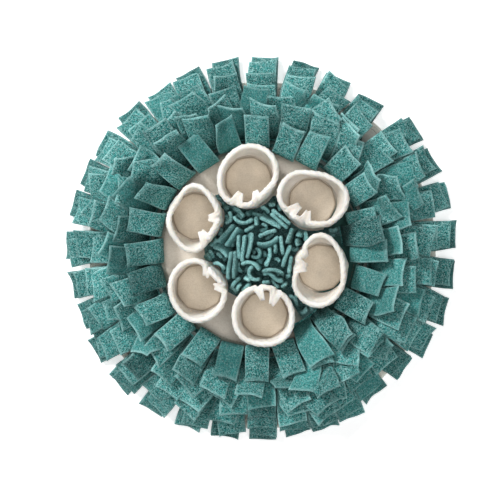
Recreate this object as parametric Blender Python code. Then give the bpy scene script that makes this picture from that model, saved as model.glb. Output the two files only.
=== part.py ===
# Snuffle mat: a cream base disc, seven rings of fleece fringe slit into tabs and shingled outward,
# a cream centre panel with six soft treat cups, and a tuft of fleece strips standing in the middle.
# Metres, +Z up. The origin is the centre of the base disc's underside.
import math
import random

import bmesh
import bpy
import numpy as np
from mathutils import Vector

MM = 0.001
CLEARANCE = 0.4 * MM
SEED = 7

# Base disc and its turned hem
BASE_RADIUS = 200.0 * MM
BASE_THICKNESS = 2.6 * MM
HEM_WIDTH = 7.0 * MM
HEM_THICKNESS = 4.6 * MM
HEM_ROUND = 1.4 * MM
BASE_STEPS = 48
BASE_WAVE = 1.2 * MM

# Centre panel, cut round, its edge turned up
FRINGE_CENTRE = (-1.7 * MM, 7.2 * MM)
PANEL_RADIUS = 114.8 * MM
PANEL_THICKNESS = 2.2 * MM
PANEL_BOTTOM = BASE_THICKNESS + CLEARANCE
PANEL_TOP = PANEL_BOTTOM + PANEL_THICKNESS
PANEL_LIP = 1.0 * MM
PANEL_LIP_WIDTH = 1.4 * MM
PANEL_STEPS = 36

# Fleece fringe
TAB_LENGTH = 62.0 * MM
TAB_WIDTH = 31.0 * MM
FLEECE_THICKNESS = 2.4 * MM
BAND_TOP = BASE_THICKNESS + CLEARANCE + FLEECE_THICKNESS
BAND_WIDTH = 3.0 * MM
SLIT_CLEARANCE = 1.6 * MM
SLIT_SHARE = 0.5
BAND_END_TRIM = 0.45 * MM
CLOTH_GAP = 0.7 * MM
BANK_LIMIT = 0.5
LAID_SKIP = 0.4
NEIGHBOUR_SKIP = 1.3
CELL = 1.0 * MM
FIELD_HALF = 245.0 * MM
TAB_KNOTS = (0.0, 0.14, 0.38, 0.68, 1.0)
PROFILE_STEPS = 24

# Rings from the outermost seam to the innermost. Radii in mm, angles in degrees: rise is the tab's
# slope at its root, droop its slope at its tip, and tip the radius that its tip reaches.
RINGS = (
    # name, root, tip, tabs, first, rise, droop, aim, reach, tilt
    ("a", 167.0, 222.0, 32, 5.0, 24.0, -34.0, 0.0, 0.0, 4.0),
    ("b", 159.0, 215.7, 32, 5.0, 50.0, -34.0, 1.2, 1.5, 5.0),
    ("c", 151.5, 202.0, 32, 5.0, 62.0, -18.0, 1.6, 3.0, 7.0),
    ("d", 144.0, 189.0, 32, 5.0, 69.0, -6.0, 2.0, 4.0, 8.0),
    ("e", 136.5, 176.0, 28, 1.0, 73.0, 12.0, 2.6, 4.0, 9.0),
    ("f", 128.5, 164.0, 26, 4.0, 77.0, 24.0, 3.0, 4.0, 11.0),
    ("g", 120.5, 150.0, 24, 0.0, 84.0, 28.0, 3.4, 5.0, 12.0),
)

# Short lengths of fringe sewn on the panel, in the two widest spaces between the cups: the ring that
# their tabs belong to, and which of its tabs each length has
PATCH_RING = ("h", 98.0, 139.0, 26, 9.2, 86.0, 10.0, 2.0, 2.0, 5.0)
PATCHES = ((21, 22), (0,))

# Where the outermost tabs end: the tip's bearing in degrees and its radius in mm
OUTER_TIPS = (
    (4.5, 225), (16.0, 225), (27.0, 225), (37.5, 227), (53.0, 211), (65.0, 214), (75.5, 217), (88.0, 218),
    (100.0, 218), (112.0, 218), (122.0, 213), (133.0, 217), (146.0, 218), (156.0, 220), (166.0, 222),
    (179.0, 224), (191.0, 221), (201.0, 220), (212.0, 226), (224.0, 230), (236.0, 228), (248.0, 224),
    (259.5, 222), (271.0, 221), (282.0, 217), (290.5, 220), (299.0, 222), (309.0, 211), (320.5, 216),
    (330.0, 224), (341.5, 225), (352.5, 225),
)

# Rings whose tabs lie in columns on the outermost ones, each turned a little further
COLUMN_RINGS = {"a": 0.0, "b": 0.8, "c": 0.2, "d": 1.0}

# Tabs that lie unlike the rest of their ring: lean is how far, in mm, the tab's middle bulges inward
ODD_TABS = (
    # ring, tab, tip bearing, tip radius, lean, rise, droop, roll
    ("g", 0, 0.0, 145.0, 24.0, 92.0, 10.0, -4.0),
    ("g", 1, 15.0, 139.0, 20.0, 94.0, 6.0, 6.0),
    ("g", 2, 31.0, 146.0, 7.0, 90.0, 16.0, 4.0),
    ("g", 3, 45.0, 150.0, 8.0, 86.0, 24.0, -5.0),
    ("g", 4, 61.0, 148.0, 18.0, 92.0, 18.0, 5.0),
    ("g", 5, 73.0, 143.0, 18.0, 94.0, 8.0, -6.0),
    ("g", 6, 90.0, 150.0, 12.0, 88.0, 24.0, 3.0),
    ("g", 7, 105.0, 151.0, 12.0, 86.0, 26.0, -4.0),
    ("g", 8, 122.0, 145.0, 19.0, 94.0, 12.0, 4.0),
    ("g", 9, 136.0, 150.0, 17.0, 90.0, 22.0, -3.0),
    ("g", 10, 151.0, 148.0, 13.5, 94.0, 16.0, -5.0),
    ("g", 11, 166.0, 147.0, 16.5, 94.0, 14.0, 5.0),
    ("g", 12, 182.0, 146.0, 21.0, 94.0, 12.0, 0.0),
    ("g", 13, 195.0, 147.0, 16.5, 94.0, 14.0, -4.0),
    ("g", 14, 209.0, 149.0, 11.0, 92.0, 18.0, 5.0),
    ("g", 15, 224.0, 147.0, 14.5, 94.0, 12.0, -4.0),
    ("g", 16, 239.0, 143.0, 19.0, 94.0, 8.0, -3.0),
    ("g", 17, 256.0, 146.0, 18.0, 90.0, 16.0, 4.0),
    ("g", 18, 270.0, 145.0, 20.0, 90.0, 16.0, -3.0),
    ("g", 19, 287.0, 143.0, 21.0, 92.0, 12.0, 4.0),
    ("g", 20, 300.0, 146.0, 21.0, 90.0, 14.0, -3.0),
    ("g", 21, 315.0, 144.0, 20.0, 92.0, 10.0, 5.0),
    ("g", 22, 331.0, 142.0, 20.0, 94.0, 8.0, -6.0),
    ("g", 23, 345.0, 144.0, 15.0, 92.0, 12.0, 3.0),
)
ODD_LENGTH = 56.0 * MM
ODD_WIDTH = 26.5 * MM
ODD_COLUMNS = ("ring", "tab", "bearing", "radius", "lean", "rise", "droop", "roll")

# Treat cups: each stands on a round foot, and its soft rim has its own centre, height and outer radius
# every 45 degrees counter-clockwise from +X. Two inward pleats have a bearing and a tip radius about
# the rim's centre. All in mm and degrees.
CUPS = (
    # foot_x, foot_y, rim_x, rim_y, height, eight radii, pleat_1, tip_1, pleat_2, tip_2
    (-13.3, 86.0, -10.5, 90.4, 58, (33.6, 36.6, 35.2, 32.2, 33.4, 37.6, 34.6, 28.6), 246, 19.7, 291, 17.7),
    (59.3, 61.2, 59.2, 68.4, 57, (40.8, 31.0, 27.6, 34.8, 38.2, 32.4, 33.0, 39.0), 217, 16.4, 254, 16.4),
    (69.5, -14.1, 67.9, -12.1, 58, (28.6, 32.5, 40.4, 30.0, 27.8, 38.0, 42.0, 34.6), 103, 21.0, 171, 13.0),
    (4.5, -68.2, 5.7, -62.7, 57, (35.0, 34.0, 34.0, 35.0, 34.6, 36.2, 34.7, 36.6), 100, 16.4, 61, 14.5),
    (-70.0, -37.4, -67.6, -35.6, 58, (33.4, 29.0, 36.0, 34.4, 31.5, 31.8, 35.9, 35.0), 63, 18.0, 6, 19.6),
    (-74.0, 44.7, -70.5, 45.0, 57, (30.0, 31.6, 37.6, 27.8, 30.0, 33.0, 39.4, 29.3), 0, 16.1, 299, 16.7),
)
CUP_WALL = 6.0 * MM
CUP_ROUND = 2.0 * MM
CUP_BULGE = 1.0 * MM
CUP_STEPS = 20
CUP_FOOT_RADIUS = 31.2 * MM
PLEAT_HALF_BASE = 4.6 * MM
PLEAT_HALF_TIP = 2.2 * MM
PLEAT_NOTCH = 2.6 * MM
PLEAT_FOOT = 0.35

# Strips of the centre tuft, standing on edge: the middle of the top edge and its bearing, the strip's
# width, the turn of its curl and of its S bend, the height and the lean of the top to its left.
STRIPS = (
    # x, y, bearing, width, curl, sway, height, lean
    (-32.5, -9.1, -94, 31, 4, 8, 44, -1),
    (-26.4, -8.6, -91, 31, -12, 6, 43, -1),
    (-22.0, 11.5, -91, 27, 5, 4, 42, 0),
    (-16.4, 9.6, -94, 30, -8, 6, 43, 0),
    (-8.8, 13.0, -100, 29, -10, 0, 46, 1),
    (-37.6, 27.0, -129, 27, 4, 0, 40, -3),
    (-30.2, 23.4, -128, 25, -4, 0, 42, -3),
    (-17.6, 38.0, -8, 26, 130, 0, 43, 0),
    (-10.0, 31.6, 34, 13, 30, 0, 39, 0),
    (-31.8, 43.0, -103, 16, -120, 0, 38, 0),
    (-2.6, 40.4, -78, 10, 10, 0, 40, 0),
    (12.6, 37.8, -27, 26, 12, 0, 43, 2),
    (22.6, 40.4, -39, 25, 12, 0, 44, 1),
    (24.8, 44.8, -41, 26, 8, 0, 43, 0),
    (7.6, 53.6, -42, 12, -60, 0, 38, 0),
    (11.4, 15.8, 15, 27, 80, 0, 41, 0),
    (9.4, 27.4, 16, 21, -24, 0, 42, 0),
    (1.0, 1.6, 60, 23, 250, 0, 38, 0),
    (12.4, -0.1, -106, 22, -60, 0, 40, 1),
    (18.6, 9.2, -81, 11, -40, 0, 36, 0),
    (25.4, 13.4, -86, 21, 14, 0, 43, 0),
    (33.4, 24.4, -108, 18, 20, 0, 42, -1),
    (30.4, 1.8, -108, 26, 22, 0, 44, 1),
    (34.6, -8.2, -94, 20, 12, 0, 42, 0),
    (-7.6, -6.6, -16, 24, -100, 0, 43, 0),
    (-9.6, -21.4, -62, 26, 190, 0, 41, 0),
    (16.4, -12.6, -4, 26, -80, 0, 41, 0),
    (16.4, -22.4, -12, 24, -10, 60, 39, 0),
    (-26.0, -28.0, -124, 14, 0, 0, 40, -1),
    (-41.0, 7.4, -34, 21, -70, 0, 40, 0),
)
TUFT_REACH = 56.0 * MM
TUFT_CENTRE = (-2.5 * MM, 9.5 * MM)
TUFT_CUP_GAP = 1.8 * MM
TUFT_BACKING = 1.6 * MM
TUFT_STEPS = 46
STRIP_THICKNESS = 3.0 * MM
STRIP_BITE = 0.8 * MM

TEAL = (0.085, 0.235, 0.225, 1.0)
CREAM = (0.80, 0.76, 0.70, 1.0)


def cloth(name, colour):
    material = bpy.data.materials.new(name)
    material.use_nodes = True
    shader = material.node_tree.nodes["Principled BSDF"]
    shader.inputs["Base Color"].default_value = colour
    shader.inputs["Roughness"].default_value = 0.95
    shader.inputs["Metallic"].default_value = 0.0
    return material


def add_object(name, vertices, faces, colour, in_triangles=True):
    mesh = bpy.data.meshes.new(name)
    mesh.from_pydata([tuple(v) for v in vertices], [], faces)
    mesh.validate()
    work = bmesh.new()
    work.from_mesh(mesh)
    bmesh.ops.recalc_face_normals(work, faces=work.faces)
    if in_triangles:
        bmesh.ops.triangulate(work, faces=work.faces)
    work.to_mesh(mesh)
    work.free()
    mesh.materials.append(cloth(name, colour))
    thing = bpy.data.objects.new(name, mesh)
    bpy.context.collection.objects.link(thing)
    return thing


def lathe(profile, steps, centre, wave):
    """Closed disc from (radius, height) pairs that start and end on the axis."""
    vertices = [(centre[0], centre[1], profile[0][1])]
    rings = profile[1:-1]
    for radius, height in rings:
        for k in range(steps):
            angle = math.tau * k / steps
            uneven = wave * (math.sin(3 * angle + 0.6) + 0.6 * math.sin(7 * angle)) * radius / BASE_RADIUS
            vertices.append((centre[0] + (radius + uneven) * math.cos(angle),
                             centre[1] + (radius + uneven) * math.sin(angle), height))
    vertices.append((centre[0], centre[1], profile[-1][1]))
    faces = []
    last = len(vertices) - 1
    for k in range(steps):
        after = (k + 1) % steps
        faces.append((0, 1 + after, 1 + k))
        for j in range(len(rings) - 1):
            low = 1 + j * steps
            high = low + steps
            faces.append((low + k, low + after, high + after, high + k))
        top = 1 + (len(rings) - 1) * steps
        faces.append((top + k, top + after, last))
    return vertices, faces


def base_mat():
    inner = BASE_RADIUS - HEM_WIDTH
    profile = (
        (0.0, 0.0),
        (BASE_RADIUS - HEM_ROUND, 0.0),
        (BASE_RADIUS, HEM_ROUND),
        (BASE_RADIUS, HEM_THICKNESS - HEM_ROUND),
        (BASE_RADIUS - HEM_ROUND, HEM_THICKNESS),
        (inner + HEM_ROUND, HEM_THICKNESS),
        (inner, BASE_THICKNESS),
        (0.0, BASE_THICKNESS),
    )
    vertices, faces = lathe(profile, BASE_STEPS, (0.0, 0.0), BASE_WAVE)
    add_object("base_mat", vertices, faces, CREAM)


def centre_panel():
    lip = PANEL_RADIUS - PANEL_LIP_WIDTH
    profile = (
        (0.0, PANEL_BOTTOM),
        (PANEL_RADIUS - 1.0 * MM, PANEL_BOTTOM),
        (PANEL_RADIUS, PANEL_BOTTOM + 1.2 * MM),
        (PANEL_RADIUS - 0.4 * MM, PANEL_TOP + PANEL_LIP),
        (lip + 0.5 * MM, PANEL_TOP + PANEL_LIP),
        (lip, PANEL_TOP),
        (0.0, PANEL_TOP),
    )
    vertices, faces = lathe(profile, PANEL_STEPS, FRINGE_CENTRE, 0.4 * MM)
    add_object("centre_panel", vertices, faces, CREAM)


def smooth_radius(radii, angle):
    """Catmull-Rom through radii set evenly around the circle."""
    count = len(radii)
    place = (angle % math.tau) / (math.tau / count)
    i = int(place)
    f = place - i
    a, b, c, d = (radii[(i + k) % count] for k in (-1, 0, 1, 2))
    square = 2 * a - 5 * b + 4 * c - d
    cube = 3 * b - a - 3 * c + d
    return 0.5 * (2 * b + (c - a) * f + square * f ** 2 + cube * f ** 3)


def cup_stations(radii, pleats):
    """Bearings around a cup with, at each, its outer notch and its pleat's tip radius (or None)."""
    stations = []
    blocked = []
    for bearing, tip in pleats:
        middle = math.radians(bearing)
        half_base = PLEAT_HALF_BASE / (smooth_radius(radii, middle) - CUP_WALL)
        half_tip = PLEAT_HALF_TIP / tip
        blocked.append((middle, half_base + math.radians(6)))
        stations += [
            (middle - half_base, 0.0, None),
            (middle - half_tip, 0.0, tip),
            (middle, PLEAT_NOTCH, tip),
            (middle + half_tip, 0.0, tip),
            (middle + half_base, 0.0, None),
        ]
    for k in range(CUP_STEPS):
        angle = math.tau * k / CUP_STEPS
        turns = [(angle - middle + math.pi) % math.tau - math.pi for middle, _ in blocked]
        if all(abs(turn) > reach for turn, (_, reach) in zip(turns, blocked)):
            stations.append((angle, 0.0, None))
    return sorted(((angle % math.tau, notch, tip) for angle, notch, tip in stations), key=lambda s: s[0])


def cup(number, row):
    foot_x, foot_y, rim_x, rim_y, height, radii, pleat_1, tip_1, pleat_2, tip_2 = row
    radii = [r * MM for r in radii]
    rim_centre = Vector((rim_x * MM, rim_y * MM))
    foot_centre = Vector((foot_x * MM, foot_y * MM))
    stations = cup_stations(radii, ((pleat_1, tip_1 * MM), (pleat_2, tip_2 * MM)))
    top = height * MM
    foot = PANEL_TOP + CLEARANCE
    levels = (
        # share of the height, inset from the outer face, which face, extra bulge
        (0.0, 0.0, "outer", 0.0),
        (0.5, 0.0, "outer", CUP_BULGE),
        (1.0 - CUP_ROUND / top, 0.0, "outer", 0.0),
        (1.0, 0.3 * CUP_WALL, "outer", 0.0),
        (1.0, 0.3 * CUP_WALL, "inner", 0.0),
        (1.0 - CUP_ROUND / top, 0.0, "inner", 0.0),
        (0.5, 0.0, "inner", -CUP_BULGE),
        (0.0, 0.0, "inner", 0.0),
    )
    vertices = []
    for share, inset, face, bulge in levels:
        middle = foot_centre.lerp(rim_centre, share)
        for angle, notch, tip in stations:
            outer = CUP_FOOT_RADIUS + (smooth_radius(radii, angle) - CUP_FOOT_RADIUS) * share
            if face == "outer":
                radius = outer - inset + bulge - notch * share
            else:
                wall = outer - CUP_WALL + inset + bulge
                radius = wall
                if tip is not None:
                    depth = PLEAT_FOOT + (1.0 - PLEAT_FOOT) * share
                    radius = wall + (tip - wall) * depth
            wave = 1.2 * MM * math.sin(2 * angle + number) * share
            z = foot + (top - foot) * share + wave
            vertices.append((middle.x + radius * math.cos(angle), middle.y + radius * math.sin(angle), z))
    count = len(stations)
    faces = []
    for j in range(len(levels)):
        below = j * count
        above = (j + 1) % len(levels) * count
        for k in range(count):
            after = (k + 1) % count
            faces.append((below + k, below + after, above + after, above + k))
    add_object(f"cup_{number}", vertices, faces, CREAM)


class HeightField:
    """The tops of the cloth laid so far, on a square grid, so that each tab lies on those below it."""

    def __init__(self):
        self.size = int(2 * FIELD_HALF / CELL)
        place = (np.arange(self.size) + 0.5) * CELL - FIELD_HALF
        self.x, self.y = np.meshgrid(place, place, indexing="ij")
        radius = np.hypot(self.x, self.y)
        self.top = np.where(radius < BASE_RADIUS + 2.0 * MM, HEM_THICKNESS, 0.0)
        self.top[radius < BASE_RADIUS - HEM_WIDTH - 1.0 * MM] = BASE_THICKNESS
        panel = np.hypot(self.x - FRINGE_CENTRE[0], self.y - FRINGE_CENTRE[1]) < PANEL_RADIUS + CELL
        self.top[panel] = PANEL_TOP + PANEL_LIP

    def add_band(self, root):
        radius = np.hypot(self.x - FRINGE_CENTRE[0], self.y - FRINGE_CENTRE[1])
        band = (radius > root - BAND_WIDTH - CELL / 2) & (radius < root)
        self.top[band] = np.maximum(self.top[band], BAND_TOP)

    def cells(self, points):
        index = ((points[:, :2] + FIELD_HALF) / CELL).astype(int)
        return np.clip(index[:, 0], 0, self.size - 1), np.clip(index[:, 1], 0, self.size - 1)

    def add(self, points):
        np.maximum.at(self.top, self.cells(points), points[:, 2])

    def under(self, points):
        return self.top[self.cells(points)]


def polar(centre, radius, angle):
    return np.array((centre[0] + radius * math.cos(angle), centre[1] + radius * math.sin(angle)))


def slope_profile(rise, droop):
    """Distance out and height at each knot for a strip that leaves at one slope and ends at another."""
    out = 0.0
    up = 0.0
    knots = [(0.0, 0.0)]
    for k in range(PROFILE_STEPS):
        share = (k + 0.5) / PROFILE_STEPS
        slope = math.radians(rise + (droop - rise) * share ** 0.85)
        out += math.cos(slope) / PROFILE_STEPS
        up += math.sin(slope) / PROFILE_STEPS
        knots.append((out, up))
    places = np.array(TAB_KNOTS) * PROFILE_STEPS
    table = np.array(knots)
    steps = np.arange(PROFILE_STEPS + 1)
    return np.interp(places, steps, table[:, 0]), np.interp(places, steps, table[:, 1])


class Tab:
    """One fleece tab: knots down its middle, its edges at each knot, and its faces sampled finely."""

    def __init__(self, left_root, right_root, low, tip, slopes, length, roll, bow, lean, width, span):
        root = (left_root + right_root) / 2
        self.low = low
        self.root_edges = (left_root, right_root)
        out, up = slope_profile(*slopes)
        way = tip - root
        self.heading = way / np.linalg.norm(way)
        side = np.array((-self.heading[1], self.heading[0]))
        share = out / out[-1]
        straight = root + np.outer(share, way)
        radial = root - np.array(FRINGE_CENTRE)
        radial /= np.linalg.norm(radial)
        start = root + np.outer(share, radial * np.linalg.norm(way))
        blend = (np.maximum(share, 0.0) ** 1.3)[:, None]
        plan = start * (1 - blend) + straight * blend + np.outer(np.sin(share * math.pi) * bow, side)
        plan -= np.outer(np.sin(np.array(TAB_KNOTS) ** 1.3 * math.pi) * lean, radial)
        self.points = np.column_stack((plan, low + up * length))
        outward = radial * (1 - blend) + self.heading * blend
        outward /= np.linalg.norm(outward, axis=1)[:, None]
        self.flat = np.column_stack((-outward[:, 1], outward[:, 0], np.zeros(len(share))))
        self.roll = roll
        pitch = span * np.linalg.norm(plan - np.array(FRINGE_CENTRE), axis=1) - SLIT_CLEARANCE
        self.width = np.where(np.array(TAB_KNOTS) < SLIT_SHARE, np.minimum(pitch, width), width)
        self.left_rise = np.zeros(len(TAB_KNOTS))
        self.right_rise = np.zeros(len(TAB_KNOTS))

    def frames(self):
        points = self.points.copy()
        points[:, 2] += (self.left_rise + self.right_rise) / 2
        tangents = np.gradient(points, axis=0)
        tangents /= np.linalg.norm(tangents, axis=1)[:, None]
        bank = np.arcsin((self.left_rise - self.right_rise) / self.width)
        turn = self.roll * np.array(TAB_KNOTS) ** 1.5 + bank
        upward = np.cross(tangents, self.flat)
        upward /= np.linalg.norm(upward, axis=1)[:, None]
        across = self.flat * np.cos(turn)[:, None] + upward * np.sin(turn)[:, None]
        normals = np.cross(tangents, across)
        normals /= np.linalg.norm(normals, axis=1)[:, None]
        return points, across, normals

    def edges(self):
        points, across, normals = self.frames()
        left = points + across * self.width[:, None] / 2
        right = points - across * self.width[:, None] / 2
        left[0] = (*self.root_edges[0], self.low)
        right[0] = (*self.root_edges[1], self.low)
        return left, right, normals

    def samples(self):
        """Points on the top and bottom faces, the upward share of their normals, and their places."""
        left, right, normals = self.edges()
        along, across = np.meshgrid(np.linspace(0.0, 1.0, 13), np.linspace(0.0, 1.0, 21), indexing="ij")
        along = along.reshape(-1, 1)
        across = across.reshape(-1, 1)
        tops = []
        bottoms = []
        level = []
        places = []
        for j in range(len(TAB_KNOTS) - 1):
            for sign, points in ((1, tops), (-1, bottoms)):
                a, b, c, d = (edge[k] + normals[k] * sign * FLEECE_THICKNESS / 2
                              for edge, k in ((left, j), (right, j), (right, j + 1), (left, j + 1)))
                beyond = a + along * (d - a) + across * (c - d)
                before = a + across * (b - a) + along * (c - b)
                points.append(np.where(along > across, beyond, before))
            upward = normals[j, 2] * (1 - along) + normals[j + 1, 2] * along
            level.append(np.maximum(np.abs(upward), 0.3).ravel())
            places.append(np.hstack((j + along, across)))
        return np.vstack(tops), np.vstack(bottoms), np.concatenate(level), np.vstack(places)

    def settle(self, laid, neighbours):
        """Lift the edges until the tab clears the cloth below it, banking where one edge is held up."""
        knots = np.arange(len(TAB_KNOTS))
        for _ in range(12):
            tops, bottoms, level, places = self.samples()
            bottoms = np.where((tops[:, 2] < bottoms[:, 2])[:, None], tops, bottoms)
            along, across = places[:, 0], places[:, 1]
            lack = field_lack(laid, bottoms, level, along > LAID_SKIP)
            lack = np.maximum(lack, field_lack(neighbours, bottoms, level, along > NEIGHBOUR_SKIP))
            if lack.max() < 0.05 * MM:
                break
            near = np.clip(1.0 - np.abs(along[:, None] - knots), 0.0, 1.0)
            near[:, 0] = 0.0
            left = near * (1.0 - across)[:, None]
            right = near * across[:, None]
            whole = (left ** 2).sum(axis=1) + (right ** 2).sum(axis=1)
            pull = (lack / np.maximum(whole, 0.12))[:, None]
            self.left_rise += (left * pull).max(axis=0)
            self.right_rise += (right * pull).max(axis=0)
            limit = self.width * BANK_LIMIT * np.array(TAB_KNOTS) ** 0.5
            limit[1] = 0.0
            self.left_rise = np.maximum(self.left_rise, self.right_rise - limit)
            self.right_rise = np.maximum(self.right_rise, self.left_rise - limit)


def field_lack(field, bottoms, level, counted):
    short = field.under(bottoms) + CLOTH_GAP / level - bottoms[:, 2]
    return np.where(counted, np.maximum(short, 0.0), 0.0)


def ring_slits(ring):
    """Each tab's bearing on a ring, and the bearing of the slit on its clockwise side."""
    name = ring[0]
    count = ring[3]
    first = ring[4]
    step = math.tau / count
    if name in COLUMN_RINGS:
        middles = [math.radians(bearing + COLUMN_RINGS[name]) for bearing, _ in OUTER_TIPS]
    else:
        middles = [math.radians(first) + k * step for k in range(count)]
    slits = []
    for k in range(count):
        gap = (middles[k] - middles[k - 1]) % math.tau
        slits.append(middles[k] - gap / 2)
    return middles, slits


def root_height(ring):
    """The middle of a band's thickness: it lies on the base, or on the panel for the short lengths."""
    under = PANEL_TOP if ring[0] == PATCH_RING[0] else BASE_THICKNESS
    return under + CLEARANCE + FLEECE_THICKNESS / 2


def ring_tabs(ring, laid, picks):
    """Lay the picked tabs of one ring on the cloth below."""
    name, root, tip, count, _, rise, droop, aim, reach, tilt = ring
    chance = random.Random(f"{SEED}{name}")
    neighbours = HeightField()
    middles, slits = ring_slits(ring)
    tabs = {}
    for k in picks:
        right = slits[k]
        span = (slits[(k + 1) % count] - right) % math.tau
        tip_bearing = middles[k]
        tip_radius = tip
        if name in COLUMN_RINGS:
            tip_radius = tip + (OUTER_TIPS[k][1] - RINGS[0][2]) * 0.8
        tip_bearing += math.radians(chance.gauss(0, 1) * aim)
        tip_radius += chance.uniform(-reach, reach)
        turned = chance.random() < 0.16
        roll = math.radians(chance.gauss(0, 1) * tilt * (2.0 if turned else 0.6))
        roll = max(-0.8, min(0.8, roll))
        bow = chance.gauss(0, 1) * 1.2 * MM
        lift = chance.gauss(0, 1) * tilt * 0.4
        length = TAB_LENGTH * chance.uniform(0.96, 1.04)
        width = TAB_WIDTH * chance.uniform(0.96, 1.03)
        slopes = (rise + lift, droop + lift)
        lean = 0.0
        odd = next((dict(zip(ODD_COLUMNS, row)) for row in ODD_TABS if row[:2] == (name, k)), None)
        if odd:
            tip_bearing = math.radians(odd["bearing"])
            tip_radius = odd["radius"]
            lean = odd["lean"] * MM
            slopes = (odd["rise"], odd["droop"])
            roll = math.radians(odd["roll"])
            length = ODD_LENGTH
            width = ODD_WIDTH
        tab = Tab(polar(FRINGE_CENTRE, root * MM, right + span),
                  polar(FRINGE_CENTRE, root * MM, right), root_height(ring),
                  polar(FRINGE_CENTRE, tip_radius * MM, tip_bearing),
                  slopes, length, roll, bow, lean, width, span)
        tabs[k] = tab
    order = list(tabs.values())
    for tab in order[::2] + order[1::2]:
        tab.settle(laid, neighbours)
        tops, bottoms, _, _ = tab.samples()
        neighbours.add(tops)
        neighbours.add(bottoms)
    laid.top = np.maximum(laid.top, neighbours.top)
    if ring[0] != PATCH_RING[0]:
        laid.add_band(root * MM)
    return tabs


def band_corner(radius, bearing, low, rise):
    """Plan point of a slit's end, the lower corner mitred outward where the tab folds up."""
    mitre = FLEECE_THICKNESS * math.tan(math.radians(rise) / 2) if low else 0.0
    return polar(FRINGE_CENTRE, radius + mitre, bearing)


def fringe_arc(name, ring, tabs, picks):
    """One band length with its tabs fused to the band's outer edge."""
    root = ring[1] * MM
    _, slits = ring_slits(ring)
    trim = BAND_END_TRIM / root
    half = FLEECE_THICKNESS / 2
    bearings = [slits[k % len(slits)] for k in picks] + [slits[(picks[-1] + 1) % len(slits)]]
    bearings[0] += trim
    bearings[-1] -= trim
    vertices = []
    for bearing in bearings:
        for radius, sign in ((root - BAND_WIDTH, -1), (root - BAND_WIDTH, 1), (root, 1), (root, -1)):
            low = sign < 0 and radius == root
            x, y = band_corner(radius, bearing, low, ring[5])
            vertices.append((x, y, root_height(ring) + sign * half))
    faces = [(0, 1, 2, 3)]
    count = len(picks)
    for k in range(count):
        a = 4 * k
        b = a + 4
        faces += [(a, b, b + 1, a + 1), (a + 1, b + 1, b + 2, a + 2), (a + 3, b + 3, b, a)]
    end = 4 * count
    faces.append((end + 3, end + 2, end + 1, end))
    for k, pick in enumerate(picks):
        left, right, normals = tabs[pick % ring[3]].edges()
        right_low, right_high = 4 * k + 3, 4 * k + 2
        left_low, left_high = 4 * k + 7, 4 * k + 6
        previous = (right_low, right_high, left_high, left_low)
        for j in range(1, len(TAB_KNOTS)):
            base = len(vertices)
            for edge, sign in ((right, -1), (right, 1), (left, 1), (left, -1)):
                vertices.append(edge[j] + normals[j] * half * sign)
            current = (base, base + 1, base + 2, base + 3)
            for m in range(4):
                n = (m + 1) % 4
                if m % 2:
                    start, end = (n, m) if m == 1 else (m, n)
                    faces.append((previous[end], previous[start], current[end]))
                    faces.append((previous[start], current[start], current[end]))
                else:
                    faces.append((previous[m], previous[n], current[n], current[m]))
            previous = current
        faces.append(previous)
    add_object(name, vertices, faces, TEAL)


def fringe():
    laid = HeightField()
    cup_bearings = []
    for row in CUPS:
        x = row[0] * MM - FRINGE_CENTRE[0]
        y = row[1] * MM - FRINGE_CENTRE[1]
        cup_bearings.append(math.atan2(y, x) % math.tau)
    cup_bearings.sort()
    for ring in RINGS:
        tabs = ring_tabs(ring, laid, range(ring[3]))
        middles, _ = ring_slits(ring)
        for arc, low in enumerate(cup_bearings):
            high = cup_bearings[(arc + 1) % len(cup_bearings)]
            span = (high - low) % math.tau
            picks = [k for k in range(ring[3]) if (middles[k] - low) % math.tau < span]
            picks.sort(key=lambda k: (middles[k] - low) % math.tau)
            fringe_arc(f"fringe_{ring[0]}_{arc + 1}", ring, tabs, range(picks[0], picks[0] + len(picks)))
    for number, picks in enumerate(PATCHES, 1):
        tabs = ring_tabs(PATCH_RING, laid, picks)
        fringe_arc(f"fringe_{PATCH_RING[0]}_{number}", PATCH_RING, tabs, picks)


def strip_plan(bearing, width, curl, sway):
    """Points along a strip's top edge, about its middle, heading turned by its curl and its S bend."""
    steps = max(1, round(abs(curl) / 32) + round(abs(sway) / 20))
    if steps > 1:
        steps = max(steps, 3)
    fine = 48
    points = [Vector((0.0, 0.0))]
    for k in range(fine):
        t = (k + 0.5) / fine - 0.5
        turn = math.radians(bearing + curl * t + sway * (6 * t * t - 0.5))
        points.append(points[-1] + Vector((math.cos(turn), math.sin(turn))) * width / fine)
    middle = points[fine // 2]
    picks = [points[round(k * fine / steps)] - middle for k in range(steps + 1)]
    return picks


def strip_mesh(row, vertices, faces):
    x, y, bearing, width, curl, sway, height, lean = row
    plan = strip_plan(bearing, width * MM, curl, sway)
    half = STRIP_THICKNESS / 2
    across = Vector((-math.sin(math.radians(bearing)), math.cos(math.radians(bearing))))
    base = len(vertices)
    count = len(plan)
    foot = PANEL_TOP + CLEARANCE + TUFT_BACKING - STRIP_BITE
    for level, shift in ((foot, -lean * MM), (height * MM, 0.0)):
        for k, point in enumerate(plan):
            before = plan[max(k - 1, 0)]
            after = plan[min(k + 1, count - 1)]
            way = (after - before).normalized()
            normal = Vector((-way.y, way.x))
            spot = Vector((x * MM, y * MM)) + point + across * shift
            for sign in (-1, 1):
                place = spot + normal * half * sign
                vertices.append((place.x, place.y, level))
    ring = [base + 2 * k for k in range(count)] + [base + 2 * k + 1 for k in reversed(range(count))]
    lift = 2 * count
    for k in range(len(ring)):
        a = ring[k]
        b = ring[(k + 1) % len(ring)]
        faces.append((a, b, b + lift, a + lift))
    for k in range(count - 1):
        a = base + 2 * k
        faces.append((a, a + 1, a + 3, a + 2))
        faces.append((a + lift, a + 2 + lift, a + 3 + lift, a + 1 + lift))


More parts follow.
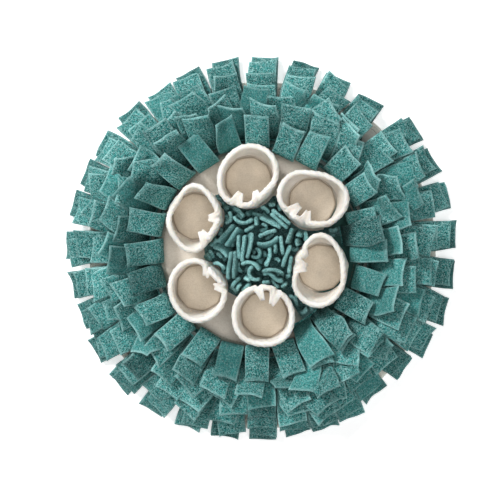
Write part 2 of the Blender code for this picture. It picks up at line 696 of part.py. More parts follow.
def tuft_reach(bearing):
    """The backing fills the space between the cups' feet, out to a limit."""
    reach = TUFT_REACH
    keep_off = CUP_FOOT_RADIUS + TUFT_CUP_GAP
    for row in CUPS:
        x = row[0] * MM - TUFT_CENTRE[0]
        y = row[1] * MM - TUFT_CENTRE[1]
        turn = math.atan2(y, x) - bearing
        along = math.hypot(x, y) * math.cos(turn)
        aside = math.hypot(x, y) * math.sin(turn)
        if abs(aside) < keep_off and along > 0:
            reach = min(reach, along - math.sqrt(keep_off ** 2 - aside ** 2))
    return reach


def centre_tuft():
    low = PANEL_TOP + CLEARANCE
    vertices = []
    for z in (low, low + TUFT_BACKING):
        for k in range(TUFT_STEPS):
            bearing = math.tau * k / TUFT_STEPS
            x, y = polar(TUFT_CENTRE, tuft_reach(bearing), bearing)
            vertices.append((x, y, z))
    bottom = tuple(range(TUFT_STEPS))
    top = tuple(k + TUFT_STEPS for k in bottom)
    faces = [bottom, top]
    for k in bottom:
        after = (k + 1) % TUFT_STEPS
        faces.append((k, after, after + TUFT_STEPS, k + TUFT_STEPS))
    tuft = add_object("centre_tuft", vertices, faces, TEAL, in_triangles=False)
    vertices = []
    faces = []
    for row in STRIPS:
        strip_mesh(row, vertices, faces)
    strips = add_object("tuft_strips", vertices, faces, TEAL)
    strips.hide_render = True
    strips.display_type = "WIRE"
    union = tuft.modifiers.new("strips", "BOOLEAN")
    union.operation = "UNION"
    union.object = strips


def main():
    for thing in list(bpy.data.objects):
        bpy.data.objects.remove(thing, do_unlink=True)
    base_mat()
    centre_panel()
    for number, row in enumerate(CUPS, 1):
        cup(number, row)
    fringe()
    centre_tuft()


main()
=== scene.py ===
import math
import random

import bmesh
import bpy
import numpy as np
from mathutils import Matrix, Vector


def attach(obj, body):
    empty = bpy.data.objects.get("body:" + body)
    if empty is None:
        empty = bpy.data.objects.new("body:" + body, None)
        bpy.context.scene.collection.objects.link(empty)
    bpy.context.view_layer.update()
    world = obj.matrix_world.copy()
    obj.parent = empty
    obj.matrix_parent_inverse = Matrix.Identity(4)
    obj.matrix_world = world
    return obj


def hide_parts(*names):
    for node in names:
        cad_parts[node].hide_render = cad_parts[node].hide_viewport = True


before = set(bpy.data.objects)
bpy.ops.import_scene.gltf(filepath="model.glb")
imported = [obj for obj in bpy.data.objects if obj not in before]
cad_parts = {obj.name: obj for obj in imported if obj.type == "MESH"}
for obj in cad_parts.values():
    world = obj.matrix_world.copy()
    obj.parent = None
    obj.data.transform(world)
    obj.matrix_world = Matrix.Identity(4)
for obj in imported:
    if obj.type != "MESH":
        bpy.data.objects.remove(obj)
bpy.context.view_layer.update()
print("packed model loaded")

mm = 0.001
seed = 7
fringeCentre = np.array((-1.7, 7.2)) * mm


# Camera, floor and lights

studio = {
    "cameraPlace": (0.06227, 0.0737, 1.07203),
    "cameraTurn": (-2.239, 2.431, -0.067),  # degrees
    "lens": 67.088, "sensorWidth": 36.0, "clipStart": 0.01, "shift": (-0.05, -0.045),
    "white": (1.0, 1.0, 1.0, 1.0),
    "floorColor": (0.93, 0.93, 0.93, 1.0), "floorHalf": 6.0, "floorHeight": -0.4 * mm, "floorGlow": 0.44,
    "floorRoughness": 0.9, "skyStrength": 0.085, "backdrop": 0.85,
    "lamps": (
        # name, place, aimed at, size in metres, watts
        ("keySoftbox", (-1.0, 1.1, 1.25), (0.0, 0.0, 0.0), 0.55, 36.0),
        ("topSoftbox", (0.1, 0.1, 1.9), (0.0, 0.0, 0.0), 1.2, 15.0),
        ("fillSoftbox", (1.0, -0.8, 1.2), (0.0, 0.0, 0.0), 0.8, 5.0),
    ),
}


def setInputs(node, settings):
    for label, value in settings.items():
        node.inputs[label].default_value = value


def buildStudio():
    lensData = bpy.data.cameras.new("camera")
    lensData.sensor_width = studio["sensorWidth"]
    lensData.lens = studio["lens"]
    lensData.shift_x, lensData.shift_y = studio["shift"]
    lensData.clip_start = studio["clipStart"]
    camera = bpy.data.objects.new("camera", lensData)
    camera.location = studio["cameraPlace"]
    camera.rotation_euler = [math.radians(turn) for turn in studio["cameraTurn"]]
    bpy.context.collection.objects.link(camera)
    bpy.context.scene.camera = camera
    for name, place, target, size, watts in studio["lamps"]:
        lamp = bpy.data.lights.new(name, "AREA")
        lamp.shape = "SQUARE"
        lamp.size = size
        lamp.energy = watts
        holder = bpy.data.objects.new(name, lamp)
        holder.location = place
        holder.rotation_euler = (Vector(target) - Vector(place)).to_track_quat("-Z", "Y").to_euler()
        bpy.context.collection.objects.link(holder)
    sky = bpy.data.worlds.new("studioSky")
    sky.use_nodes = True
    background = sky.node_tree.nodes["Background"]
    setInputs(background, {"Color": studio["white"]})
    # the backdrop beyond the floor is paler to the lens than the light it gives
    lens = sky.node_tree.nodes.new("ShaderNodeLightPath").outputs["Is Camera Ray"]
    strength = sky.node_tree.nodes.new("ShaderNodeMapRange")
    setInputs(strength, {"To Min": studio["skyStrength"], "To Max": studio["backdrop"]})
    sky.node_tree.links.new(lens, strength.inputs["Value"])
    sky.node_tree.links.new(strength.outputs["Result"], background.inputs["Strength"])
    bpy.context.scene.world = sky
    bpy.context.scene.view_settings.view_transform = "Standard"
    bpy.context.scene.view_settings.look = "None"
    paper = bpy.data.materials.new("floorPaper")
    paper.use_nodes = True
    setInputs(paper.node_tree.nodes["Principled BSDF"], {
        "Base Color": studio["floorColor"], "Roughness": studio["floorRoughness"],
        "Emission Color": studio["white"], "Emission Strength": studio["floorGlow"]})
    half, low = studio["floorHalf"], studio["floorHeight"]
    corners = [(-half, -half, low), (half, -half, low), (half, half, low), (-half, half, low)]
    mesh = bpy.data.meshes.new("studioFloor")
    mesh.from_pydata(corners, [], [(0, 1, 2, 3)])
    mesh.materials.append(paper)
    floor = bpy.data.objects.new("studioFloor", mesh)
    bpy.context.collection.objects.link(floor)


buildStudio()
print("camera, lights and floor placed")


# Shader node groups shared by the cloths

def newGroup(name, inputs, outputs):
    # inputs and outputs give the sockets' names by kind
    group = bpy.data.node_groups.new(name, "ShaderNodeTree")
    for side, kinds in (("INPUT", inputs), ("OUTPUT", outputs)):
        for kind, labels in kinds.items():
            for label in labels:
                group.interface.new_socket(name=label, in_out=side, socket_type=f"NodeSocket{kind}")
    return group, group.nodes.new("NodeGroupInput").outputs, group.nodes.new("NodeGroupOutput").inputs


def feed(tree, socket, value):
    if isinstance(value, bpy.types.NodeSocket):
        tree.links.new(value, socket)
    else:
        socket.default_value = value


def mathNode(tree, operation, first, second=0.0):
    node = tree.nodes.new("ShaderNodeMath")
    node.operation = operation
    feed(tree, node.inputs[0], first)
    feed(tree, node.inputs[1], second)
    return node.outputs[0]


def times(tree, first, second):
    return mathNode(tree, "MULTIPLY", first, second)


def plus(tree, first, second):
    return mathNode(tree, "ADD", first, second)


def minus(tree, first, second):
    return mathNode(tree, "SUBTRACT", first, second)


def vectorNode(tree, operation, first, second):
    node = tree.nodes.new("ShaderNodeVectorMath")
    node.operation = operation
    feed(tree, node.inputs[0], first)
    if operation == "SCALE":
        feed(tree, node.inputs["Scale"], second)
    else:
        feed(tree, node.inputs[1], second)
    return node.outputs[0]


def noiseNode(tree, place, scale, detail=2.0, roughness=0.5):
    node = tree.nodes.new("ShaderNodeTexNoise")
    feed(tree, node.inputs["Vector"], place)
    feed(tree, node.inputs["Scale"], scale)
    setInputs(node, {"Detail": detail, "Roughness": roughness})
    return node.outputs


def wander(tree, place, scale, detail, reach):
    # moves a place to and fro by noise
    drift = vectorNode(tree, "SUBTRACT", noiseNode(tree, place, scale, detail)[1], (0.5, 0.5, 0.5))
    return vectorNode(tree, "ADD", place, vectorNode(tree, "SCALE", drift, reach))


def spread(tree, value, low, high, newLow=0.0, newHigh=1.0):
    node = tree.nodes.new("ShaderNodeMapRange")
    node.interpolation_type = "SMOOTHSTEP"
    for socket, setting in zip(("Value", "From Min", "From Max", "To Min", "To Max"),
                               (value, low, high, newLow, newHigh)):
        feed(tree, node.inputs[socket], setting)
    return node.outputs[0]


def mixColor(tree, share, first, second, blend="MIX"):
    node = tree.nodes.new("ShaderNodeMix")
    node.data_type = "RGBA"
    node.blend_type = blend
    feed(tree, node.inputs[0], share)
    feed(tree, node.inputs[6], first)
    feed(tree, node.inputs[7], second)
    return node.outputs[2]


nap = {
    # sizes are shares of the curl scale, ranges are of noise values
    "swirlScale": 0.55, "ridge": (0.075, 0.018), "breakScale": 1.7, "breaks": (0.32, 0.52),
    "pitScale": 1.3, "pits": (0.36, 0.58), "fineScale": 3.4, "clouds": (0.3, 0.7),
    "curlHeight": 0.55, "pitHeight": 0.35, "fineHeight": 0.18,
}


def buildNapGroup():
    # Curled fleece nap: short worm-like curls of fibre, with dimples between them
    group, given, made = newGroup(
        "fleeceNap", {"Vector": ("Vector",), "Float": ("Curl Scale", "Curl Warp", "Cloud Scale")},
        {"Float": ("Height", "Curls", "Pits", "Cloud")})
    place, scale = given["Vector"], given["Curl Scale"]
    reach = mathNode(group, "DIVIDE", given["Curl Warp"], scale)
    warped = wander(group, place, times(group, scale, nap["swirlScale"]), 1.0, reach)
    lines = noiseNode(group, warped, scale, 1.5, 0.45)[0]
    curls = spread(group, mathNode(group, "ABSOLUTE", minus(group, lines, 0.5)), *nap["ridge"])
    breaks = noiseNode(group, place, times(group, scale, nap["breakScale"]), 1.0)[0]
    curls = times(group, curls, spread(group, breaks, *nap["breaks"]))
    pits = noiseNode(group, warped, times(group, scale, nap["pitScale"]), 1.0, 0.5)[0]
    pits = spread(group, pits, *nap["pits"])
    fine = noiseNode(group, place, times(group, scale, nap["fineScale"]), 2.0, 0.6)[0]
    height = plus(group, times(group, curls, nap["curlHeight"]), times(group, pits, nap["pitHeight"]))
    height = plus(group, height, times(group, fine, nap["fineHeight"]))
    cloud = noiseNode(group, place, given["Cloud Scale"], 3.0, 0.55)[0]
    group.links.new(height, made["Height"])
    group.links.new(curls, made["Curls"])
    group.links.new(pits, made["Pits"])
    group.links.new(spread(group, cloud, *nap["clouds"]), made["Cloud"])
    return group


toneMixing = {
    "toneShare": 0.42, "cloudShare": 0.24, "plain": 0.90, "darkest": 0.25, "edgeCloud": 0.9, "edgePlain": 0.4,
    "seamShare": 0.95,
}


def buildToneGroup():
    # Dyed cloth: deep colour in the pits, pale fibre on the curls, cloudy dye, paler cut edges, all darkened
    # or lightened by the tone mark, which carries random tone and painted shade
    group, given, made = newGroup(
        "clothTone",
        {"Color": ("Dye", "Deep Dye", "Pale Fibre"),
         "Float": ("Curls", "Pits", "Cloud", "Cut Edge", "Tone", "Curl Amount", "Pit Amount", "Edge Amount")},
        {"Color": ("Color",)})
    hollow = times(group, minus(group, 1.0, given["Pits"]), given["Pit Amount"])
    color = mixColor(group, hollow, given["Dye"], given["Deep Dye"])
    fibre = times(group, given["Curls"], given["Curl Amount"])
    color = mixColor(group, fibre, color, given["Pale Fibre"])
    edge = times(group, given["Cut Edge"], given["Edge Amount"])
    cloudy = plus(group, times(group, given["Cloud"], toneMixing["edgeCloud"]), toneMixing["edgePlain"])
    color = mixColor(group, times(group, edge, cloudy), color, given["Pale Fibre"])
    bright = plus(group, times(group, given["Tone"], toneMixing["toneShare"]),
                  times(group, given["Cloud"], toneMixing["cloudShare"]))
    bright = mathNode(group, "MAXIMUM", plus(group, bright, toneMixing["plain"]), toneMixing["darkest"])
    grey = group.nodes.new("ShaderNodeCombineColor")
    for socket in grey.inputs:
        group.links.new(bright, socket)
    color = mixColor(group, 1.0, color, grey.outputs[0], "MULTIPLY")
    group.links.new(color, made["Color"])
    return group


knit = {
    "wanderScale": 60.0, "wander": 0.0022, "slant": 1.4, "rise": 0.7, "between": 0.4,
    "fuzzScale": 1500.0, "fuzz": 0.5, "napHeight": 0.35, "loopHeight": 0.6, "shade": (0.0, 0.7, 0.5, 1.0),
}


def buildKnitGroup():
    # Fine knitted back of the cloth: rows of small loops
    group, given, made = newGroup("knitLoops", {"Vector": ("Vector",), "Float": ("Loops per Metre",)},
                                  {"Float": ("Height", "Loops")})
    place = group.nodes.new("ShaderNodeSeparateXYZ")
    wandering = wander(group, given["Vector"], knit["wanderScale"], 2.0, knit["wander"])
    group.links.new(wandering, place.inputs[0])
    x, y, z = place.outputs
    turns = times(group, given["Loops per Metre"], math.tau)
    across = mathNode(group, "SINE", times(group, x, turns))
    across = mathNode(group, "ABSOLUTE", across)
    along = times(group, plus(group, y, times(group, z, knit["rise"])), turns)
    along = mathNode(group, "SINE", plus(group, along, times(group, across, knit["slant"])))
    loops = times(group, plus(group, along, 1.0), 0.5)
    ridge = plus(group, times(group, across, 1 - knit["between"]), knit["between"])
    loops = times(group, loops, ridge)
    group.links.new(loops, made["Loops"])
    fuzz = noiseNode(group, given["Vector"], knit["fuzzScale"], 2.0)[0]
    group.links.new(plus(group, loops, times(group, fuzz, knit["fuzz"])), made["Height"])
    return group


napGroup = buildNapGroup()
toneGroup = buildToneGroup()
knitGroup = buildKnitGroup()


def useGroup(tree, group, **values):
    node = tree.nodes.new("ShaderNodeGroup")
    node.node_tree = group
    for label, value in values.items():
        feed(tree, node.inputs[label.replace("_", " ")], value)
    return node.outputs


clothFinish = {
    # how far roughness varies, and what the cloths share
    "smoother": 0.06, "rougher": 0.04, "sheenRoughness": 0.45, "specular": 0.15,
    "glowRadius": (1.0, 0.8, 0.6),
}


def clothMaterial(name, look):
    # look names the cloth's colours and the strength of each effect
    material = bpy.data.materials.new(name)
    material.use_nodes = True
    tree = material.node_tree
    shader = tree.nodes["Principled BSDF"]
    place = tree.nodes.new("ShaderNodeTexCoord").outputs["Object"]

    def mark(label):
        node = tree.nodes.new("ShaderNodeAttribute")
        node.attribute_name = label
        return node.outputs["Fac"]

    fleece = useGroup(tree, napGroup, Vector=place, Curl_Scale=look["curlScale"], Curl_Warp=look["curlWarp"],
                      Cloud_Scale=look["cloudScale"])
    curls, pits, height, cloud = (fleece[label] for label in ("Curls", "Pits", "Height", "Cloud"))
    if look.get("brushed"):
        # a brushed face shows fewer curls than a nubby one
        nubby = times(tree, mark("nap"), look["brushed"])
        curls = times(tree, curls, plus(tree, nubby, 1 - look["brushed"]))
        pits = mathNode(tree, "MAXIMUM", pits, minus(tree, look["brushed"], nubby))
    if look.get("knit"):
        loops = useGroup(tree, knitGroup, Vector=place, Loops_per_Metre=look["knit"])
        height = plus(tree, times(tree, height, knit["napHeight"]),
                      times(tree, loops["Height"], knit["loopHeight"]))
        pits = times(tree, pits, spread(tree, loops["Loops"], *knit["shade"]))
    tone = useGroup(tree, toneGroup, Dye=look["dye"], Deep_Dye=look["deep"], Pale_Fibre=look["pale"],
                    Curls=curls, Pits=pits, Cloud=cloud, Cut_Edge=mark("cutEdge"), Tone=mark("tone"),
                    Curl_Amount=look["curlAmount"], Pit_Amount=look["pitAmount"],
                    Edge_Amount=look["edgeAmount"])
    color = tone["Color"]
    # the seam mark carries dark seam lines and painted shade, mixed in the seam colour
    if look.get("seam"):
        color = mixColor(tree, times(tree, mark("seam"), toneMixing["seamShare"]), color, look["seam"])
    tree.links.new(color, shader.inputs["Base Color"])
    rough = spread(tree, cloud, 0.0, 1.0, look["roughness"] - clothFinish["smoother"],
                   look["roughness"] + clothFinish["rougher"])
    tree.links.new(rough, shader.inputs["Roughness"])
    setInputs(shader, {
        "Sheen Weight": look["sheen"], "Sheen Roughness": clothFinish["sheenRoughness"],
        "Sheen Tint": look["sheenTint"], "Specular IOR Level": clothFinish["specular"]})
    if look.get("glow"):
        # thin pale fleece lets light through to its shaded side
        setInputs(shader, {"Subsurface Weight": look["glow"], "Subsurface Radius": clothFinish["glowRadius"],
                           "Subsurface Scale": look["glowDepth"]})
    bump = tree.nodes.new("ShaderNodeBump")
    setInputs(bump, {"Strength": look["bump"], "Distance": look["bumpDepth"]})
    tree.links.new(height, bump.inputs["Height"])
    tree.links.new(bump.outputs["Normal"], shader.inputs["Normal"])
    return material


plainCloth = {
    "curlScale": 520.0, "curlWarp": 0.7, "cloudScale": 30.0, "curlAmount": 0.30, "pitAmount": 0.30,
    "edgeAmount": 0.5, "roughness": 0.93, "sheen": 0.2, "sheenTint": (1.0, 0.98, 0.94, 1.0),
    "bump": 0.5, "bumpDepth": 0.0007,
}
plainFleece = dict(plainCloth, curlWarp=0.9, bump=0.8, bumpDepth=0.0012, brushed=0.75)
plainThread = dict(plainCloth, curlScale=1400.0, curlWarp=0.5, cloudScale=60.0, pitAmount=0.5, edgeAmount=0.2,
                   sheen=0.1, sheenTint=(1.0, 1.0, 1.0, 1.0), bumpDepth=0.0002)
clothLooks = {
    "tealFleece": dict(
        plainFleece, dye=(0.054, 0.262, 0.250, 1.0), deep=(0.001, 0.058, 0.054, 1.0),
        pale=(0.40, 0.68, 0.665, 1.0), curlScale=440.0, curlAmount=0.76, pitAmount=0.90,
        sheen=0.08, sheenTint=(0.40, 0.85, 0.80, 1.0)),
    "tuftFleece": dict(
        plainFleece, dye=(0.122, 0.312, 0.308, 1.0), deep=(0.012, 0.085, 0.083, 1.0),
        pale=(0.33, 0.54, 0.53, 1.0), curlScale=400.0, cloudScale=44.0, curlAmount=0.80, pitAmount=0.85,
        edgeAmount=0.22, sheen=0.12, sheenTint=(0.55, 0.85, 0.82, 1.0), bump=0.7, bumpDepth=0.0010),
    # its edge colour is greyer than its dye, painting shade on the strongly lit rim
    "creamFleece": dict(
        plainCloth, dye=(0.93, 0.885, 0.81, 1.0), deep=(0.72, 0.64, 0.54, 1.0), pale=(0.84, 0.80, 0.745, 1.0),
        seam=(0.30, 0.20, 0.12, 1.0), pitAmount=0.22, edgeAmount=0.7, roughness=0.92,
        sheen=0.35, sheenTint=(1.0, 0.98, 0.95, 1.0), glow=0.6, glowDepth=0.008),
    "panelCloth": dict(
        plainCloth, dye=(0.84, 0.765, 0.67, 1.0), deep=(0.64, 0.54, 0.44, 1.0), pale=(0.90, 0.84, 0.77, 1.0),
        seam=(0.001, 0.085, 0.074, 1.0), cloudScale=24.0, pitAmount=0.25,
        sheen=0.25, sheenTint=(1.0, 0.97, 0.93, 1.0)),
    # the cups' floors: cloth like the panel's, drawn darker and warmer as painted shade inside the cups
    "creamKnit": dict(
        plainCloth, dye=(0.76, 0.675, 0.56, 1.0), deep=(0.56, 0.475, 0.37, 1.0), pale=(0.87, 0.81, 0.72, 1.0),
        seam=(0.22, 0.14, 0.08, 1.0), knit=620.0, curlScale=500.0, curlWarp=0.6, cloudScale=26.0,
        curlAmount=0.25, edgeAmount=0.3, roughness=0.94, sheenTint=(1.0, 0.95, 0.9, 1.0), bump=0.6,
        bumpDepth=0.0005),
    "baseCloth": dict(
        plainCloth, dye=(0.87, 0.87, 0.79, 1.0), deep=(0.70, 0.69, 0.60, 1.0), pale=(0.93, 0.93, 0.88, 1.0),
        seam=(0.02, 0.075, 0.075, 1.0), knit=480.0, curlScale=450.0, curlWarp=0.6, cloudScale=18.0,
        curlAmount=0.25, bump=0.6, bumpDepth=0.0006),
    "creamThread": dict(
        plainThread, dye=(0.80, 0.76, 0.66, 1.0), deep=(0.50, 0.45, 0.36, 1.0), pale=(0.90, 0.88, 0.80, 1.0),
        roughness=0.75),
    "brownThread": dict(
        plainThread, dye=(0.26, 0.18, 0.12, 1.0), deep=(0.12, 0.08, 0.05, 1.0), pale=(0.40, 0.30, 0.22, 1.0),
        roughness=0.8),
}
cloths = {name: clothMaterial(name, look) for name, look in clothLooks.items()}
print("cloth materials made")


# Mesh helpers

markNames = ("cutEdge", "tone", "nap", "seam")


def makePiece(name, vertices, faces, material, marks):
    # marks are point values that the cloth materials read
    mesh = bpy.data.meshes.new(name)
    mesh.from_pydata(np.asarray(vertices, dtype=float).tolist(), [], faces)
    for mark in markNames:
        layer = mesh.attributes.new(mark, "FLOAT", "POINT")
        values = np.asarray(marks.get(mark, 0.0), dtype=np.float32)
        layer.data.foreach_set("value", np.broadcast_to(values, len(vertices)).copy())
    work = bmesh.new()
    work.from_mesh(mesh)
    bmesh.ops.recalc_face_normals(work, faces=work.faces)
    work.to_mesh(mesh)
    work.free()
    mesh.polygons.foreach_set("use_smooth", [True] * len(mesh.polygons))
    mesh.materials.append(material)
    piece = bpy.data.objects.new(name, mesh)
    bpy.context.collection.objects.link(piece)
    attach(piece, "root")
    return piece


class MeshParts:
    # Gathers closed shells into one piece

    def __init__(self):
        self.vertices = []
        self.faces = []
        self.marks = {mark: [] for mark in markNames}

    def add(self, vertices, faces, **marks):
        start = len(self.vertices)
        self.vertices.extend(np.asarray(vertices, dtype=float).tolist())
        self.faces.extend([tuple(start + i for i in face) for face in faces])
        for mark, values in self.marks.items():
            given = np.broadcast_to(np.asarray(marks.get(mark, 0.0), dtype=float), len(vertices))
            values.extend(given.tolist())

    def piece(self, name, material, slot):
        return makePiece(name, self.vertices, self.faces, material, self.marks)


def gridFaces(rows, columns, start=0):
    # Quads between rings of points, each ring joined round to its first point
    faces = []
    for j in range(rows - 1):
        for k in range(columns):
            after = (k + 1) % columns
            a = start + j * columns
            faces.append((a + k, a + after, a + columns + after, a + columns + k))
    return faces


def tubeFaces(rows, columns):
    # A tube of rings with both ends closed
    faces = gridFaces(rows, columns)
    faces.append(tuple(reversed(range(columns))))
    faces.append(tuple(range((rows - 1) * columns, rows * columns)))
    return faces


def discShell(centre, low, rings, high):
    # A closed disc: rings of points from under its centre, out round the rim and back over the top
    rows, steps = len(rings), len(rings[0])
    vertices = np.vstack([[(*centre, low)]] + rings + [[(*centre, high)]])
    faces = gridFaces(rows, steps, 1)
    last = len(vertices) - 1
    for k in range(steps):
        after = (k + 1) % steps
        faces.append((0, 1 + after, 1 + k))
        faces.append((last - steps + k, last - steps + after, last))
    return vertices, faces


def ringPoints(centre, radius, angles, z):
    x = centre[0] + radius * np.cos(angles)
    y = centre[1] + radius * np.sin(angles)
    return np.stack((x, y, np.broadcast_to(z, angles.shape)), axis=1)


def waves(table, turns, phases, place):
    # A sum of waves: each one's count, how far it shifts with place, and its size
    return sum(size * np.sin(count * turns + phase + drift * place)
               for (count, drift, size), phase in zip(table, phases))


def smoothStep(low, high, value):
    share = np.clip((value - low) / (high - low), 0.0, 1.0)
    return share * share * (3 - 2 * share)


def throughKnots(knots, values, places):
    # Smooth curve through the knots
    knots = np.asarray(knots, dtype=float)
    values = np.asarray(values, dtype=float)
    slopes = np.gradient(values, knots, axis=0)
    k = np.clip(np.searchsorted(knots, places, side="right") - 1, 0, len(knots) - 2)
    step = (knots[k + 1] - knots[k])[:, None]
    f = ((places - knots[k]) / step[:, 0])[:, None]
    return ((2 * f ** 3 - 3 * f ** 2 + 1) * values[k] + (f ** 3 - 2 * f ** 2 + f) * step * slopes[k]
            + (3 * f ** 2 - 2 * f ** 3) * values[k + 1] + (f ** 3 - f ** 2) * step * slopes[k + 1])


def unit(vectors):
    return vectors / np.maximum(np.linalg.norm(vectors, axis=-1, keepdims=True), 1e-12)


def polar(centre, radius, angle):
    return np.array((centre[0] + radius * math.cos(angle), centre[1] + radius * math.sin(angle)))


stitches = {
    # a stitch's outline: place along it, thickness, and lift off the cloth
    "places": (0.0, 0.12, 0.5, 0.88, 1.0), "swell": (0.35, 0.9, 1.0, 0.9, 0.35),
    "slack": (-0.1, 0.2, 0.45, 0.2, -0.1), "thick": 0.5 * mm, "sides": 5, "curveSteps": 360,
}


def stitchLine(parts, points, up, length, gap):
    # Sewn thread along a line: a row of short slack stitches lying on the cloth
    steps = np.linalg.norm(np.diff(points, axis=0), axis=1)
    along = np.concatenate(([0.0], np.cumsum(steps)))
    count = max(1, int(along[-1] / (length + gap)))
    pitch = along[-1] / count
    shares = np.array(stitches["places"]) * (pitch - gap)
    sizes = np.array(stitches["swell"]) * stitches["thick"] / 2
    lifts = np.array(stitches["slack"]) * stitches["thick"]
    up = np.array((0.0, 0.0, up))
    turn = np.arange(stitches["sides"])[:, None] * math.tau / stitches["sides"]
    for k in range(count):
        places = k * pitch + shares
        spots = np.stack([np.interp(places, along, points[:, i]) for i in range(3)], axis=1)
        side = unit(np.cross(up, unit(spots[-1] - spots[0])))
        rings = [spot + up * lift + size * (np.cos(turn) * side + np.sin(turn) * up)
                 for spot, lift, size in zip(spots, lifts, sizes)]
        parts.add(np.vstack(rings), tubeFaces(len(rings), stitches["sides"]))


def circleLine(centre, radius, z, wave=None):
    angles = np.arange(stitches["curveSteps"] + 1) * math.tau / stitches["curveSteps"]
    return ringPoints(centre, radius + (wave(angles) if wave else 0.0), angles, z)


# Base disc with its turned and stitched hem

base = {
    "radius": 200.0 * mm, "thickness": 2.6 * mm, "hemWidth": 7.0 * mm, "hemThickness": 4.6 * mm,
    "steps": 288, "wave": 1.2 * mm, "ripple": 0.3 * mm, "edgeRound": 1.6 * mm,
    "hemStitches": (1.8 * mm, 3.6 * mm, 5.4 * mm), "grooveWidth": 0.45 * mm, "grooveDepth": 0.55 * mm,
    "shaded": ((100.0 * mm, 116.0 * mm), (158.0 * mm, 178.0 * mm)),
}


def clothWave(angles):
    # how far the edges of base and panel wander from round, as a share
    return np.sin(3 * angles + 0.6) + 0.6 * np.sin(7 * angles)


def baseWave(angles):
    return base["wave"] * clothWave(angles)


def baseProfile():
    # radius and height from under the middle, round the hem, over its stitched grooves and back in
    rim, low, high = base["radius"], base["thickness"], base["hemThickness"]
    inner, edge = rim - base["hemWidth"], base["edgeRound"]
    profile = [(rim * share, 0.0) for share in (0.15, 0.3, 0.45, 0.6, 0.72, 0.84, 0.93)]
    for turn in np.linspace(-math.pi / 2, math.pi / 2, 9):
        profile.append((rim - edge + edge * math.cos(turn), high / 2 + high / 2 * math.sin(turn)))
    for back in np.arange(2.2, 6.9, 0.45) * mm:
        groove = sum(math.exp(-((back - line) / base["grooveWidth"]) ** 2) for line in base["hemStitches"])
        profile.append((rim - back, high - base["grooveDepth"] * groove))
    profile += [(inner - 0.3 * mm, high - 0.7 * mm), (inner - 0.5 * mm, low + 0.2 * mm)]
    profile.append((inner - 1.2 * mm, low))
    return profile + [(inner * share, low) for share in (0.96, 0.9, 0.8, 0.68, 0.54, 0.4, 0.26, 0.13)]


def buildBase():
    rim, low, high = base["radius"], base["thickness"], base["hemThickness"]
    angles = np.arange(base["steps"]) * math.tau / base["steps"]
    rings = []
    for radius, z in baseProfile():
        reach = radius + baseWave(angles) * radius / rim
        ripple = base["ripple"] * np.sin(9 * angles + 3.0 * radius / rim) * (radius / rim) ** 3
        rings.append(ringPoints((0.0, 0.0), reach, angles, z + ripple * (z > 0.1 * mm)))
    vertices, faces = discShell((0.0, 0.0), 0.0, rings, low)
    edgeWearAndShade = smoothStep(rim - 2.5 * mm, rim, np.hypot(vertices[:, 0], vertices[:, 1]))
    # teal lint and painted deep shade where the fringe bands are sewn down
    away = np.hypot(*(vertices[:, :2] - fringeCentre).T)
    inner, outer = base["shaded"]
    shaded = smoothStep(*inner, away) * (1 - smoothStep(*outer, away)) * (vertices[:, 2] > 0.5 * low)
    disc = makePiece("baseDisc", vertices, faces, cloths["baseCloth"],
                     {"cutEdge": edgeWearAndShade, "seam": shaded})
    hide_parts("base_mat")
    thread = MeshParts()
    for back in base["hemStitches"]:
        line = circleLine((0.0, 0.0), rim - back, high - 0.45 * mm, wave=baseWave)
        stitchLine(thread, line, 1.0, length=2.4 * mm, gap=0.9 * mm)
    # each fringe band is sewn through the base, so its stitches show underneath
    for ring in fringeRings:
        line = circleLine(fringeCentre, ring["root"] * mm - fringe["bandWidth"] / 2, 0.05 * mm)
        stitchLine(thread, line, -1.0, length=3.2 * mm, gap=1.3 * mm)
    thread.piece("baseStitches", cloths["creamThread"], "base_fleece")


# Centre panel

panel = {
    "radius": 114.8 * mm, "bottom": 3.0 * mm, "top": 5.2 * mm, "lip": 1.0 * mm, "steps": 220, "rings": 34,
    "wave": 0.4 * mm, "ripple": 0.35 * mm, "edgeWearAndShade": 0.7, "seamIn": 4.5 * mm,
    # where the teal lint and painted shade lie on the panel
    "lintAndShadeSide": -16.0, "lintAndShadeSpread": (38.0, 56.0), "lintAndShadeRadii": (76.0 * mm, 88.0 * mm),
}


def panelRings(angles):
    # rings of points from the underside round the turned edge to the top, and how much painted dark shade
    # each takes at the edge
    rim, low, top, lip = panel["radius"], panel["bottom"], panel["top"], panel["lip"]
    rows = [(rim * share, low, 0.0) for share in (0.2, 0.4, 0.6, 0.8, 0.92)]
    rows += [(rim - 1.0 * mm, low, 0.0), (rim, low + 1.2 * mm, panel["edgeWearAndShade"])]
    rows.append((rim - 0.2 * mm, top + lip * 0.8, panel["edgeWearAndShade"]))
    for radius in [rim - 1.6 * mm] + list(np.linspace(rim - 3.0 * mm, rim * 0.04, panel["rings"])):
        pucker = panel["ripple"] * np.sin(23 * angles + 9 * radius / rim) * smoothStep(0.5, 1.0, radius / rim)
        slack = panel["ripple"] * np.sin(radius / (9 * mm) + 3 * np.sin(2 * angles))
        rise = lip * smoothStep(rim - 4 * mm, rim - 1.5 * mm, radius)
        edgeWearAndShade = panel["edgeWearAndShade"] * float(smoothStep(rim - 8 * mm, rim - 2 * mm, radius))
        rows.append((radius, top + rise + 0.5 * pucker + 0.5 * slack, edgeWearAndShade))
    rings = []
    for radius, z, _ in rows:
        reach = radius + panel["wave"] * clothWave(angles) * radius / rim
        rings.append(ringPoints(fringeCentre, reach, angles, z))
    return rings, [edgeWearAndShade for _, _, edgeWearAndShade in rows]


